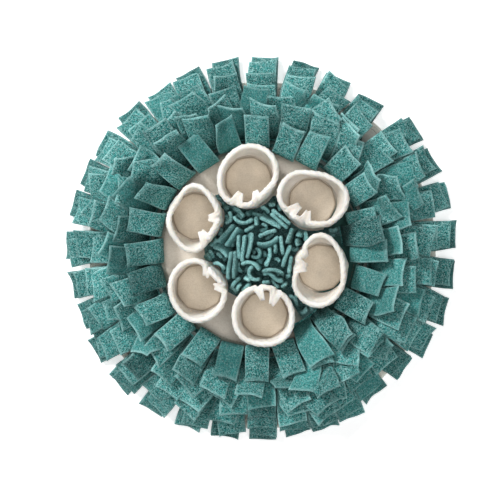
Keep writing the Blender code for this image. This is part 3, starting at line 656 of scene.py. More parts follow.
def buildPanel():
    rim = panel["radius"]
    angles = np.arange(panel["steps"]) * math.tau / panel["steps"]
    rings, edgeWearAndShade = panelRings(angles)
    vertices, faces = discShell(fringeCentre, panel["bottom"], rings, panel["top"])
    # teal lint and painted dark shade cover the side where the fringe lies against the cups
    away = vertices[:, :2] - fringeCentre
    aside = np.abs((np.degrees(np.arctan2(away[:, 1], away[:, 0])) - panel["lintAndShadeSide"] + 180) % 360 - 180)
    lintAndShade = (1 - smoothStep(*panel["lintAndShadeSpread"], aside)) * smoothStep(*panel["lintAndShadeRadii"], np.hypot(*away.T))
    edge = np.concatenate(([0.0], np.repeat(edgeWearAndShade, len(angles)), [0.0]))
    disc = makePiece("centrePanel", vertices, faces, cloths["panelCloth"],
                     {"seam": np.maximum(lintAndShade, edge)})
    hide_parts("centre_panel")
    thread = MeshParts()
    line = circleLine(fringeCentre, rim - panel["seamIn"], panel["top"] + 0.2 * mm)
    stitchLine(thread, line, 1.0, length=2.8 * mm, gap=1.2 * mm)
    thread.piece("panelStitches", cloths["brownThread"], "panel_fleece")


# Fleece fringe: bands sewn in rings, each slit into tabs that are laid outward over the ring outside

fringe = {
    "tabLength": 62.0 * mm, "tabWidth": 31.0 * mm, "thickness": 2.4 * mm, "rootHeight": 4.2 * mm,
    "bandWidth": 3.0 * mm, "bandSlack": 1.04, "slitClearance": 1.6 * mm, "slitShare": 0.5,
    "innerLength": 56.0 * mm, "innerWidth": 26.5 * mm, "knots": (0.0, 0.14, 0.38, 0.68, 1.0),
    "profileSteps": 24, "foldGrowth": 0.85, "turnGrowth": 1.3, "rollGrowth": 1.5,
    # how far tabs differ from each other
    "lengthSpread": (0.96, 1.04), "widthSpread": (0.96, 1.03), "followOuter": 0.8, "bow": 1.2 * mm,
    "turnedShare": 0.16, "turnedRoll": 2.0, "plainRoll": 0.6, "rollLimit": 0.8, "liftShare": 0.4,
    # how tabs rest on the cloth below
    "clothGap": 0.7 * mm, "bankLimit": 0.5, "laidSkip": 0.4, "neighbourSkip": 1.3, "cell": 1.0 * mm,
    "fieldHalf": 245.0 * mm, "settleSteps": 12, "closeEnough": 0.05 * mm, "samplesAlong": 13,
    "samplesAcross": 21, "leastLevel": 0.3, "leastShare": 0.12,
    "restHeight": 3.0 * mm, "floorGive": 0.95, "pressHeight": 54.0 * mm, "give": 10.0 * mm,
    # the soft shape of a tab, its tone, and the painted shade near its root
    "cupped": 1.7 * mm, "cornerCurl": 3.6 * mm, "hollowTip": 1.2 * mm, "skewTip": 1.5 * mm,
    "ruffle": 0.7 * mm, "tipCurl": 3.0 * mm, "twists": (0.25, 0.68), "waist": 0.02,
    "sideRound": 0.35 * mm, "endRound": 0.4 * mm, "plump": 0.08,
    # where along a tab each part of its shape sets in
    "waistFrom": (0.2, 0.6), "freeFrom": (0.25, 0.7), "endFrom": (0.6, 1.0), "cornerFrom": (0.72, 1.0),
    "twistFrom": (0.55, 1.0), "curlFrom": (0.7, 1.0),
    "paintedRootShade": (0.05, 0.55), "rootShadeTone": 1.25, "toneSpread": 0.32,
    "nubbyNap": (0.8, 1.0), "smoothNap": (0.3, 0.55), "bandNap": 0.6, "bandTrim": 0.5 * mm,
}
# the rings from the outside in: root and tip radius in mm, tabs, and where they begin in degrees; then rise,
# droop and aim in degrees, how far tips differ in mm, and tilt in degrees; then tone, painted shade and light
# by ring, darker on the outermost and innermost rings; then the shares of tabs that are nubby and that are
# twisted
ringColumns = ("name", "root", "tip", "tabs", "begin", "rise", "droop", "aim", "reach", "tilt", "tone",
               "nubby", "twisted")
fringeRings = tuple(dict(zip(ringColumns, row)) for row in (
    # these have as many tabs as outerTips has places, and begin that many degrees aside from them
    ("a", 167.0, 222.0, 32, 0.0, 24.0, -34.0, 0.0, 0.0, 4.0, -0.42, 0.95, 0.0),
    ("b", 159.0, 215.7, 32, 0.8, 50.0, -34.0, 1.2, 1.5, 5.0, -0.18, 0.9, 0.06),
    ("c", 151.5, 202.0, 32, 0.2, 62.0, -18.0, 1.6, 3.0, 7.0, 0.05, 0.85, 0.22),
    ("d", 144.0, 189.0, 32, 1.0, 69.0, -6.0, 2.0, 4.0, 8.0, 0.1, 0.8, 0.35),
    # these are spaced evenly
    ("e", 136.5, 176.0, 28, 1.0, 73.0, 12.0, 2.6, 4.0, 9.0, 0.05, 0.7, 0.40),
    ("f", 128.5, 164.0, 26, 4.0, 77.0, 24.0, 3.0, 4.0, 11.0, -0.05, 0.7, 0.40),
    # innerTabs says how each of these lies
    ("g", 120.5, 0.0, 24, 0.0, 0.0, 0.0, 0.0, 0.0, 0.0, -0.25, 0.75, 0.28),
))
# short lengths sewn on the panel in the widest spaces between the cups, as parts of a ring of their own,
# and which tabs of it they have
patchRing = dict(fringeRings[-1], name="h", root=98.0, tip=139.0, tabs=26, begin=9.2, rise=86.0, droop=10.0,
                 aim=2.0, reach=2.0, tilt=5.0)
patches = ((21, 22), (0,))
# where the outermost tabs end: bearing in degrees, radius in mm
outerTips = (
    (4.5, 225), (16.0, 225), (27.0, 225), (37.5, 227), (53.0, 211), (65.0, 214), (75.5, 217), (88.0, 218),
    (100.0, 218), (112.0, 218), (122.0, 213), (133.0, 217), (146.0, 218), (156.0, 220), (166.0, 222),
    (179.0, 224), (191.0, 221), (201.0, 220), (212.0, 226), (224.0, 230), (236.0, 228), (248.0, 224),
    (259.5, 222), (271.0, 221), (282.0, 217), (290.5, 220), (299.0, 222), (309.0, 211), (320.5, 216),
    (330.0, 224), (341.5, 225), (352.5, 225),
)
# how each tab of the innermost ring lies: bearing, tip radius, lean, rise, droop and roll
innerTabs = (
    (0, 145, 24, 92, 10, -4), (15, 139, 20, 94, 6, 6), (31, 146, 7, 90, 16, 4),
    (45, 150, 8, 86, 24, -5), (61, 148, 18, 92, 18, 5), (73, 143, 18, 94, 8, -6),
    (90, 150, 12, 88, 24, 3), (105, 151, 12, 86, 26, -4), (122, 145, 19, 94, 12, 4),
    (136, 150, 17, 90, 22, -3), (151, 148, 13.5, 94, 16, -5), (166, 147, 16.5, 94, 14, 5),
    (182, 146, 21, 94, 12, 0), (195, 147, 16.5, 94, 14, -4), (209, 149, 11, 92, 18, 5),
    (224, 147, 14.5, 94, 12, -4), (239, 143, 19, 94, 8, -3), (256, 146, 18, 90, 16, 4),
    (270, 145, 20, 90, 16, -3), (287, 143, 21, 92, 12, 4), (300, 146, 21, 90, 14, -3),
    (315, 144, 20, 92, 10, 5), (331, 142, 20, 94, 8, -6), (345, 144, 15, 92, 12, 3),
)
tabKnots = np.array(fringe["knots"])


class ClothField:
    # The tops of the cloth laid so far, on a square grid, so that each tab lies on those below it

    def __init__(self):
        cell, half = fringe["cell"], fringe["fieldHalf"]
        self.size = int(2 * half / cell)
        place = (np.arange(self.size) + 0.5) * cell - half
        x, y = np.meshgrid(place, place, indexing="ij")
        radius = np.hypot(x, y)
        self.away = np.hypot(x - fringeCentre[0], y - fringeCentre[1])
        self.top = np.where(radius < base["radius"] + 2.0 * mm, base["hemThickness"], 0.0)
        self.top[radius < base["radius"] - base["hemWidth"] - 1.0 * mm] = base["thickness"]
        self.top[self.away < panel["radius"] + cell] = panel["top"] + panel["lip"]

    def addBand(self, root):
        band = (self.away > root - fringe["bandWidth"] - fringe["cell"] / 2) & (self.away < root)
        self.top[band] = np.maximum(self.top[band], fringe["rootHeight"] + fringe["thickness"] / 2)

    def cells(self, points):
        index = ((points[:, :2] + fringe["fieldHalf"]) / fringe["cell"]).astype(int)
        return np.clip(index[:, 0], 0, self.size - 1), np.clip(index[:, 1], 0, self.size - 1)

    def add(self, points):
        np.maximum.at(self.top, self.cells(points), points[:, 2])

    def lack(self, bottoms, level, counted):
        # how much higher the points have to be to clear the cloth
        short = self.top[self.cells(bottoms)] + fringe["clothGap"] / level - bottoms[:, 2]
        return np.where(counted, np.maximum(short, 0.0), 0.0)


def slopeProfile(rise, droop):
    # Distance out and height at each knot for a tab that leaves at one slope and ends at another
    steps = fringe["profileSteps"]
    out, up = 0.0, 0.0
    route = [(0.0, 0.0)]
    for k in range(steps):
        share = (k + 0.5) / steps
        slope = math.radians(rise + (droop - rise) * share ** fringe["foldGrowth"])
        out += math.cos(slope) / steps
        up += math.sin(slope) / steps
        route.append((out, up))
    return [np.interp(tabKnots * steps, np.arange(steps + 1), places) for places in zip(*route)]


class FleeceTab:
    # One tab: knots down its middle and the rise of each edge where other cloth holds it up

    def __init__(self, leftRoot, rightRoot, low, tip, slopes, length, roll, bow, lean, width, span):
        root = (leftRoot + rightRoot) / 2
        self.low = low
        self.rootEdges = (leftRoot, rightRoot)
        self.length = length
        out, up = slopeProfile(*slopes)
        way = tip - root
        heading = way / np.linalg.norm(way)
        side = np.array((-heading[1], heading[0]))
        share = out / out[-1]
        straight = root + np.outer(share, way)
        radial = root - fringeCentre
        radial /= np.linalg.norm(radial)
        start = root + np.outer(share, radial * np.linalg.norm(way))
        # it leaves the band square to it, and turns toward its tip
        blend = (np.maximum(share, 0.0) ** fringe["turnGrowth"])[:, None]
        plan = start * (1 - blend) + straight * blend + np.outer(np.sin(share * math.pi) * bow, side)
        plan -= np.outer(np.sin(tabKnots ** fringe["turnGrowth"] * math.pi) * lean, radial)
        self.points = np.column_stack((plan, low + up * length))
        outward = radial * (1 - blend) + heading * blend
        outward /= np.linalg.norm(outward, axis=1)[:, None]
        self.flat = np.column_stack((-outward[:, 1], outward[:, 0], np.zeros(len(share))))
        self.roll = roll
        pitch = span * np.linalg.norm(plan - fringeCentre, axis=1) - fringe["slitClearance"]
        self.width = np.where(tabKnots < fringe["slitShare"], np.minimum(pitch, width), width)
        self.leftRise = np.zeros(len(tabKnots))
        self.rightRise = np.zeros(len(tabKnots))

    def edges(self):
        points = self.points.copy()
        points[:, 2] += (self.leftRise + self.rightRise) / 2
        tangents = unit(np.gradient(points, axis=0))
        bank = np.arcsin((self.leftRise - self.rightRise) / self.width)
        turn = self.roll * tabKnots ** fringe["rollGrowth"] + bank
        upward = unit(np.cross(tangents, self.flat))
        across = self.flat * np.cos(turn)[:, None] + upward * np.sin(turn)[:, None]
        normals = unit(np.cross(tangents, across))
        left = points + across * self.width[:, None] / 2
        right = points - across * self.width[:, None] / 2
        left[0] = (*self.rootEdges[0], self.low)
        right[0] = (*self.rootEdges[1], self.low)
        return left, right, normals

    def samples(self):
        left, right, normals = self.edges()
        along, across = np.meshgrid(np.linspace(0.0, 1.0, fringe["samplesAlong"]),
                                    np.linspace(0.0, 1.0, fringe["samplesAcross"]), indexing="ij")
        along = along.reshape(-1, 1)
        across = across.reshape(-1, 1)
        tops, bottoms, level, places = [], [], [], []
        for j in range(len(tabKnots) - 1):
            for sign, points in ((1, tops), (-1, bottoms)):
                a, b, c, d = (edge[k] + normals[k] * sign * fringe["thickness"] / 2
                              for edge, k in ((left, j), (right, j), (right, j + 1), (left, j + 1)))
                beyond = a + along * (d - a) + across * (c - d)
                before = a + across * (b - a) + along * (c - b)
                points.append(np.where(along > across, beyond, before))
            upward = normals[j, 2] * (1 - along) + normals[j + 1, 2] * along
            level.append(np.maximum(np.abs(upward), fringe["leastLevel"]).ravel())
            places.append(np.hstack((j + along, across)))
        return np.vstack(tops), np.vstack(bottoms), np.concatenate(level), np.vstack(places)

    def settle(self, laid, neighbours):
        # Lift the edges until the tab clears the cloth below it
        knots = np.arange(len(tabKnots))
        for _ in range(fringe["settleSteps"]):
            tops, bottoms, level, places = self.samples()
            bottoms = np.where((tops[:, 2] < bottoms[:, 2])[:, None], tops, bottoms)
            along, across = places[:, 0], places[:, 1]
            lack = laid.lack(bottoms, level, along > fringe["laidSkip"])
            lack = np.maximum(lack, neighbours.lack(bottoms, level, along > fringe["neighbourSkip"]))
            if lack.max() < fringe["closeEnough"]:
                break
            near = np.clip(1.0 - np.abs(along[:, None] - knots), 0.0, 1.0)
            near[:, 0] = 0.0
            left = near * (1.0 - across)[:, None]
            right = near * across[:, None]
            whole = (left ** 2).sum(axis=1) + (right ** 2).sum(axis=1)
            pull = (lack / np.maximum(whole, fringe["leastShare"]))[:, None]
            self.leftRise += (left * pull).max(axis=0)
            self.rightRise += (right * pull).max(axis=0)
            limit = self.width * fringe["bankLimit"] * tabKnots ** 0.5
            limit[1] = 0.0
            self.leftRise = np.maximum(self.leftRise, self.rightRise - limit)
            self.rightRise = np.maximum(self.rightRise, self.leftRise - limit)


def followsTips(ring):
    return ring["tabs"] == len(outerTips)


def ringSlits(ring):
    # Each tab's bearing on a ring, and the bearing of the slit on its clockwise side
    step = math.tau / ring["tabs"]
    if followsTips(ring):
        middles = [math.radians(bearing + ring["begin"]) for bearing, _ in outerTips]
    else:
        middles = [math.radians(ring["begin"]) + k * step for k in range(ring["tabs"])]
    slits = [middles[k] - (middles[k] - middles[k - 1]) % math.tau / 2 for k in range(ring["tabs"])]
    return middles, slits


def rootHeight(ring):
    return fringe["rootHeight"] + (panel["top"] - base["thickness"] if ring["name"] == "h" else 0.0)


def layRing(ring, laid, picks):
    # Lay the picked tabs of one ring on the cloth below
    name = ring["name"]
    chance = random.Random(f"{seed}{name}")
    neighbours = ClothField()
    middles, slits = ringSlits(ring)
    tabs = {}
    for k in picks:
        right = slits[k]
        span = (slits[(k + 1) % ring["tabs"]] - right) % math.tau
        bearing, radius = middles[k], ring["tip"]
        if followsTips(ring):
            radius += (outerTips[k][1] - fringeRings[0]["tip"]) * fringe["followOuter"]
        bearing += math.radians(chance.gauss(0, 1) * ring["aim"])
        radius += chance.uniform(-ring["reach"], ring["reach"])
        rolled = fringe["turnedRoll"] if chance.random() < fringe["turnedShare"] else fringe["plainRoll"]
        roll = math.radians(chance.gauss(0, 1) * ring["tilt"] * rolled)
        roll = max(-fringe["rollLimit"], min(fringe["rollLimit"], roll))
        bow = chance.gauss(0, 1) * fringe["bow"]
        lift = chance.gauss(0, 1) * ring["tilt"] * fringe["liftShare"]
        length = fringe["tabLength"] * chance.uniform(*fringe["lengthSpread"])
        width = fringe["tabWidth"] * chance.uniform(*fringe["widthSpread"])
        slopes = (ring["rise"] + lift, ring["droop"] + lift)
        lean = 0.0
        if name == "g":
            degrees, radius, lean, *slopes, roll = innerTabs[k]
            bearing, roll, lean = math.radians(degrees), math.radians(roll), lean * mm
            length, width = fringe["innerLength"], fringe["innerWidth"]
        root = ring["root"] * mm
        tabs[k] = FleeceTab(polar(fringeCentre, root, right + span), polar(fringeCentre, root, right),
                            rootHeight(ring), polar(fringeCentre, radius * mm, bearing), slopes, length, roll,
                            bow, lean, width, span)
    order = list(tabs.values())
    for tab in order[::2] + order[1::2]:
        tab.settle(laid, neighbours)
        tops, bottoms, _, _ = tab.samples()
        neighbours.add(tops)
        neighbours.add(bottoms)
    laid.top = np.maximum(laid.top, neighbours.top)
    if ring["name"] != "h":
        laid.addBand(ring["root"] * mm)
    return tabs


tabRows = np.array((0.0, 0.035, 0.075, 0.12, 0.17, 0.225, 0.285, 0.35, 0.42, 0.49, 0.56, 0.63, 0.70, 0.765,
                    0.825, 0.88, 0.925, 0.958, 0.982, 1.0))
tabColumns = np.array((-1.0, -0.95, -0.86, -0.66, -0.40, -0.13, 0.13, 0.40, 0.66, 0.86, 0.95, 1.0))
rowThickness = np.interp(tabRows, (0.0, 0.958, 0.985, 1.0), (1.0, 1.0, 0.94, 0.6))
columnThickness = np.interp(np.abs(tabColumns), (0.0, 0.86, 0.95, 1.0), (1.0, 1.0, 0.92, 0.58))


def easeHeights(z):
    # Tips rest on the floor rather than in it, and edges that stand up are pressed down at the top
    low, high, give = fringe["restHeight"], fringe["pressHeight"], fringe["give"]
    sink = low * fringe["floorGive"]
    z = np.where(z < low, low - sink * (1 - np.exp((np.minimum(z, low) - low) / sink)), z)
    return np.where(z > high, high + give * (1 - np.exp(-(np.maximum(z, high) - high) / give)), z)


def tabSurface(tab, twisted, chance):
    # The middle of a tab's cloth: cupped, ruffled, with a hollow cut end and curled corners
    left, right, normals = tab.edges()
    leftLine = throughKnots(tabKnots, left, tabRows)
    rightLine = throughKnots(tabKnots, right, tabRows)
    facing = unit(throughKnots(tabKnots, normals, tabRows))
    side = leftLine - rightLine
    halfWidth = np.linalg.norm(side, axis=1)[:, None] / 2
    side = unit(side)
    middle = (leftLine + rightLine) / 2
    ahead = unit(np.gradient(middle, axis=0))
    v, rows = tabColumns[None, :], tabRows[:, None]

    def settingIn(label):
        return smoothStep(*fringe[label], rows)

    waist = np.sin(rows * chance.uniform(5, 9) + chance.uniform(0, 6)) * settingIn("waistFrom")
    across = halfWidth * v * (1 + fringe["waist"] * waist)
    endShift = fringe["hollowTip"] * chance.uniform(0.3, 1.5) * (v ** 2 - 0.5)
    endShift = (endShift + fringe["skewTip"] * chance.gauss(0, 1) * v) * settingIn("endFrom")
    free = settingIn("freeFrom")
    cupping = fringe["cupped"] * chance.uniform(-0.4, 1.4) * (0.4 - v ** 2) * free
    phase = [chance.uniform(0, 6.28) for _ in range(4)]
    ruffle = fringe["ruffle"] * free * (np.sin(rows * 9 + v * 2.0 + phase[0])
                                        + 0.7 * np.sin(rows * 15 - v * 3.4 + phase[1])
                                        + 0.6 * np.sin(v * 5 + phase[2]) * rows)
    curls = [fringe["cornerCurl"] * chance.gauss(0.15, 0.6) for _ in range(2)]
    corner = curls[0] * np.clip(v, 0, 1) ** 2 + curls[1] * np.clip(-v, 0, 1) ** 2
    corner = corner * settingIn("cornerFrom")
    # some tabs have twisted with use, so that one long edge stands up towards the tip
    twist = chance.gauss(0, 0.3) * twisted
    if chance.random() < twisted:
        twist = chance.choice((-1, 1)) * chance.uniform(*fringe["twists"])
    turn = abs(twist) * settingIn("twistFrom")
    pivot = -math.copysign(1.0, twist) * halfWidth
    fromPivot = across - pivot
    across = pivot + fromPivot * np.cos(turn)
    tipCurl = fringe["tipCurl"] * chance.gauss(0.1, 0.6) * (0.3 + twisted * 2)
    tipCurl = tipCurl * settingIn("curlFrom") ** 1.5
    lift = cupping + ruffle + corner + tipCurl + np.abs(fromPivot) * np.sin(turn)
    surface = (middle[:, None, :] + side[:, None, :] * across[..., None]
               + ahead[:, None, :] * endShift[..., None] + facing[:, None, :] * lift[..., None])
    normal = unit(np.cross(np.gradient(surface, axis=0), np.gradient(surface, axis=1)))
    plump = 1 + fringe["plump"] * np.sin(rows * 21 + phase[3]) * np.sin(v * 6 + phase[0])
    thickness = fringe["thickness"] * rowThickness[:, None] * columnThickness[None, :] * plump
    return surface, normal * thickness[..., None] / 2, side, ahead[-1]


def tabShell(tab, twisted, chance):
    # Closed shell of one tab, with how far each point is a cut edge and how much painted shade darkens it
    # near the root
    surface, half, side, ahead = tabSurface(tab, twisted, chance)
    leftSide = (surface[:, -1] + side * fringe["sideRound"])[:, None]
    rightSide = (surface[:, 0] - side * fringe["sideRound"])[:, None]
    loop = np.concatenate((surface + half, leftSide, (surface - half)[:, ::-1], rightSide), axis=1)
    rowCount, loopCount = loop.shape[:2]
    columns = len(tabColumns)
    vertices = np.concatenate((loop.reshape(-1, 3), surface[-1] + ahead * fringe["endRound"]))
    vertices[:, 2] = easeHeights(vertices[:, 2])
    faces = gridFaces(rowCount, loopCount)
    lastRow = (rowCount - 1) * loopCount
    endRow = rowCount * loopCount

    def under(k):
        # the point below the k-th one of the upper face
        return 2 * columns - k

    # the cut end is rounded over its own middle row, the root is flat
    for k in range(columns - 1):
        faces.append((lastRow + k, lastRow + k + 1, endRow + k + 1, endRow + k))
        faces.append((endRow + k, endRow + k + 1, lastRow + under(k + 1), lastRow + under(k)))
        faces.append((k, k + 1, under(k + 1), under(k)))
    last = columns - 1
    faces.append((lastRow, endRow, lastRow + loopCount - 1))
    faces.append((endRow, lastRow + under(0), lastRow + loopCount - 1))
    faces.append((lastRow + last, lastRow + columns, endRow + last))
    faces.append((endRow + last, lastRow + columns, lastRow + under(last)))
    faces.append((0, under(0), loopCount - 1))
    faces.append((last, columns, under(last)))
    edge = np.maximum(np.interp(np.abs(tabColumns), (0.0, 0.86, 1.0), (0.0, 0.0, 1.0))[None, :],
                      np.interp(tabRows, (0.0, 0.958, 1.0), (0.0, 0.0, 1.0))[:, None])
    edge = np.concatenate((edge, np.ones((rowCount, 1)), edge[:, ::-1], np.ones((rowCount, 1))), axis=1)
    edge = np.concatenate((edge.ravel(), np.ones(columns)))
    # painted shade, deepest at the root
    paintedRootShade = np.repeat(1 - smoothStep(*fringe["paintedRootShade"], tabRows), loopCount)
    return vertices, faces, edge, np.concatenate((paintedRootShade, np.zeros(columns)))


def bandShell(root, height, low, high):
    # The uncut band that joins the tabs of one length of fringe
    count = max(3, int((high - low) / math.radians(2)))
    halfWidth, halfThick = fringe["bandWidth"] / 2, fringe["thickness"] / 2

    def blunt(value, power):
        return math.copysign(abs(value) ** power, value)

    section = []
    for turn in np.arange(10) * math.tau / 10:
        radius = root - halfWidth + 0.3 * mm + (halfWidth + 0.5 * mm) * blunt(math.cos(turn), 0.5)
        section.append((radius, height + halfThick * blunt(math.sin(turn), 0.6)))
    vertices = [(*polar(fringeCentre, radius, angle), z)
                for angle in np.linspace(low, high, count) for radius, z in section]
    return vertices, tubeFaces(count, len(section))


def cutLength(tab):
    # Length of the flat tab, along its own middle line from the band to the tip
    left, right, _ = tab.edges()
    middle = throughKnots(tabKnots, (left + right) / 2, tabRows)
    return float(np.linalg.norm(np.diff(middle, axis=0), axis=1).sum())


def fringePiece(name, ring, tabs, picks, chance):
    # One length of fringe: its band, with its tabs
    _, slits = ringSlits(ring)
    start = slits[picks[0]]
    reach = (slits[(picks[-1] + 1) % ring["tabs"]] - start) % math.tau
    root = ring["root"] * mm
    trim = fringe["bandTrim"] / root
    parts = MeshParts()
    parts.add(*bandShell(root, rootHeight(ring), start + trim, start + reach - trim),
              nap=fringe["bandNap"])
    for k in picks:
        vertices, faces, edge, paintedRootShade = tabShell(tabs[k], ring["twisted"], chance)
        # each tab's tone: its ring's painted shade and light, a random part, and painted shade near the root
        tone = ring["tone"] + chance.gauss(0, fringe["toneSpread"]) - fringe["rootShadeTone"] * paintedRootShade
        nap = chance.uniform(*fringe["nubbyNap" if chance.random() < ring["nubby"] else "smoothNap"])
        parts.add(vertices, faces, cutEdge=edge, tone=tone, nap=nap)
    piece = parts.piece(f"{name}_cloth", cloths["tealFleece"], "fringe_fleece")
    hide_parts(name)
    lengths = [cutLength(tabs[k]) for k in picks]
    area = sum(length * tabs[k].width[-1] for length, k in zip(lengths, picks))
    area += reach * root * fringe["bandWidth"]
    return piece.name


def buildFringe():
    laid = ClothField()
    cupBearings = []
    for row in cups:
        x, y = np.array(row["foot"]) * mm - fringeCentre
        cupBearings.append(math.atan2(y, x) % math.tau)
    cupBearings.sort()
    for ring in fringeRings:
        tabs = layRing(ring, laid, range(ring["tabs"]))
        chance = random.Random(f"look{seed}{ring['name']}")
        middles, _ = ringSlits(ring)
        for arc, low in enumerate(cupBearings):
            span = (cupBearings[(arc + 1) % len(cupBearings)] - low) % math.tau
            picks = [k for k in range(ring["tabs"]) if (middles[k] - low) % math.tau < span]
            picks.sort(key=lambda k: (middles[k] - low) % math.tau)
            fringePiece(f"fringe_{ring['name']}_{arc + 1}", ring, tabs, picks, chance)
        print("fringe ring", ring["name"], "laid,", len(tabs), "tabs")
    for number, picks in enumerate(patches, 1):
        tabs = layRing(patchRing, laid, picks)
        fringePiece(f"fringe_h_{number}", patchRing, tabs, picks, random.Random(f"look{seed}h{number}"))


# Treat cups

cupColumns = ("foot", "rim", "height", "radii", "pleats")
cups = tuple(dict(zip(cupColumns, row)) for row in (
    # places of foot and rim, height, the rim's radii at every 45 degrees, and each pleat's bearing and reach
    ((-13.3, 86.0), (-10.5, 90.4), 58,
     (33.6, 36.6, 35.2, 32.2, 33.4, 37.6, 34.6, 28.6), ((246, 19.7), (291, 17.7))),
    ((59.3, 61.2), (59.2, 68.4), 57,
     (40.8, 31.0, 27.6, 34.8, 38.2, 32.4, 33.0, 39.0), ((217, 16.4), (254, 16.4))),
    ((69.5, -14.1), (67.9, -12.1), 58,
     (28.6, 32.5, 40.4, 30.0, 27.8, 38.0, 42.0, 34.6), ((132, 19.5), (169, 14.0))),
    ((4.5, -68.2), (5.7, -62.7), 57,
     (35.0, 34.0, 34.0, 35.0, 34.6, 36.2, 34.7, 36.6), ((100, 16.4), (61, 14.5))),
    ((-70.0, -37.4), (-67.6, -35.6), 58,
     (33.4, 29.0, 36.0, 34.4, 31.5, 31.8, 35.9, 35.0), ((63, 18.0), (6, 19.6))),
    ((-74.0, 44.7), (-70.5, 45.0), 57,
     (30.0, 31.6, 37.6, 27.8, 30.0, 33.0, 39.4, 29.3), ((0, 16.1), (299, 16.7))),
))
cupShape = {
    "footRadius": 31.2 * mm, "foot": 5.6 * mm, "wall": 3.2 * mm, "rim": 6.2 * mm, "bulge": 1.0 * mm,
    "steps": 168,
    "outsideLevels": (0.0, 0.02, 0.05, 0.1, 0.18, 0.28, 0.38, 0.5, 0.62, 0.74, 0.85, 0.93), "rimSteps": 11,
    "insideLevels": (0.93, 0.85, 0.74, 0.62, 0.5, 0.38, 0.26, 0.15, 0.06, 0.0),
    # pleats: half widths at the wall and the tip, and how far those differ
    "pleatBase": 6.0 * mm, "baseSpread": (0.85, 1.25), "pleatTip": 3.3 * mm, "tipSpread": (0.7, 1.3),
    "narrowest": 0.62, "pleatFoot": 0.12, "pleatDip": 1.6 * mm, "flare": (0.05, 0.4), "skew": 2.4 * mm,
    "tipHollow": 0.4 * mm, "hollowWidth": 0.55, "notch": 1.8 * mm, "notchWidth": 0.3, "pleatSteps": 25,
    # levels between which a pleat, its outer crease and its sideways turn set in
    "pleatFrom": (0.25, 0.95), "notchFrom": (0.15, 1.0), "turnFrom": (0.35, 1.0),
    "tuck": 1.6 * mm, "tuckLevel": 0.025, "tilt": 1.2 * mm, "wave": 0.7 * mm,
    # levels at which the rim thickens and its fluff and the dip of a pleat begin
    "rimFrom": 0.8, "fluffFrom": 0.7, "dipFrom": 0.4,
    # waves round the wall: how many, how far they shift up it, and their size
    "wrinkle": 0.5 * mm, "wrinkles": ((7, 2.0, 1.0), (13, -3.0, 0.8), (4, 5.0, 0.6)),
    "fluff": 0.32 * mm, "fluffs": ((23, 1.0, 1.0), (37, -1.7, 0.8), (59, 2.3, 0.5)),
    # the rim's greyer edge colour, partly painted shade; painted shade down the inside; the dark seam at the
    # foot
    "edgeWearAndShade": 0.6, "insideShade": 0.06, "seamShade": 0.4, "seamLevel": 0.03, "toneSpread": 0.08,
}
cupFloor = {
    "steps": 144, "sides": 9, "straight": 0.55, "clear": 0.6 * mm, "sag": 0.25 * mm,
    "low": 5.7 * mm, "top": 6.6 * mm, "sagAbove": 6.2,
    # share of the radius, height in mm and darkness, from the underside over the seam to the top
    "rows": ((0.3, 5.7, 0), (0.7, 5.7, 0), (0.97, 5.7, 0), (1.0, 6.1, 0.5), (0.985, 6.5, 0.5),
             (0.965, 6.2, 0.6), (0.945, 6.5, 0.1), (0.88, 6.8, 0), (0.7, 6.7, 0), (0.5, 6.6, 0),
             (0.3, 6.7, 0), (0.12, 6.6, 0)),
}


def smoothRadius(radii, angles):
    # Catmull-Rom through radii set evenly around the circle
    count = len(radii)
    radii = np.asarray(radii) * mm
    place = (angles % math.tau) / (math.tau / count)
    i = place.astype(int) % count
    f = place - np.floor(place)
    a, b, c, d = (radii[(i + k) % count] for k in (-1, 0, 1, 2))
    return 0.5 * (2 * b + (c - a) * f + (2 * a - 5 * b + 4 * c - d) * f ** 2
                  + (3 * b - a - 3 * c + d) * f ** 3)


def cupPleats(row, chance):
    # each pleat's bearing, and its reach, half widths, flare and skew
    pleats = []
    for bearing, tip in row["pleats"]:
        middle = math.radians(bearing)
        wall = float(smoothRadius(row["radii"], np.array([middle]))[0]) - cupShape["rim"]
        halfBase = cupShape["pleatBase"] * chance.uniform(*cupShape["baseSpread"]) / wall
        halfTip = cupShape["pleatTip"] * chance.uniform(*cupShape["tipSpread"]) / (tip * mm)
        halfTip = min(halfTip, cupShape["narrowest"] * halfBase)
        skew = cupShape["skew"] * chance.uniform(-1.0, 1.0) / (tip * mm)
        pleats.append((middle, tip * mm, halfBase, halfTip, chance.uniform(*cupShape["flare"]), skew))
    return pleats


def pleatPull(angles, pleats, level, inside):
    # what the pleats do to the wall at one level: pull inward, dip, outer crease and turn sideways
    pull, dip, notch, turned = (np.zeros(len(angles)) for _ in range(4))
    depth = smoothStep(*cupShape["pleatFrom"], level)
    depth = cupShape["pleatFoot"] + (1 - cupShape["pleatFoot"]) * depth
    for middle, tip, halfBase, halfTip, flare, skew in pleats:
        turns = (angles - middle + math.pi) % math.tau - math.pi
        flap = smoothStep(halfBase, halfTip, np.abs(turns))
        hollow = np.exp(-(turns / (halfTip * cupShape["hollowWidth"])) ** 2)
        hollow = cupShape["tipHollow"] * hollow * flap
        pull = np.maximum(pull, flap * depth * np.maximum(inside - tip, 0.0) - hollow * depth)
        dip = np.maximum(dip, flap)
        crease = np.exp(-(turns / (halfBase * cupShape["notchWidth"])) ** 2)
        notch = np.maximum(notch, crease * cupShape["notch"] * smoothStep(*cupShape["notchFrom"], level))
        turned += (turns * flare + skew) * flap * smoothStep(*cupShape["turnFrom"], level)
    return pull, dip, notch, turned


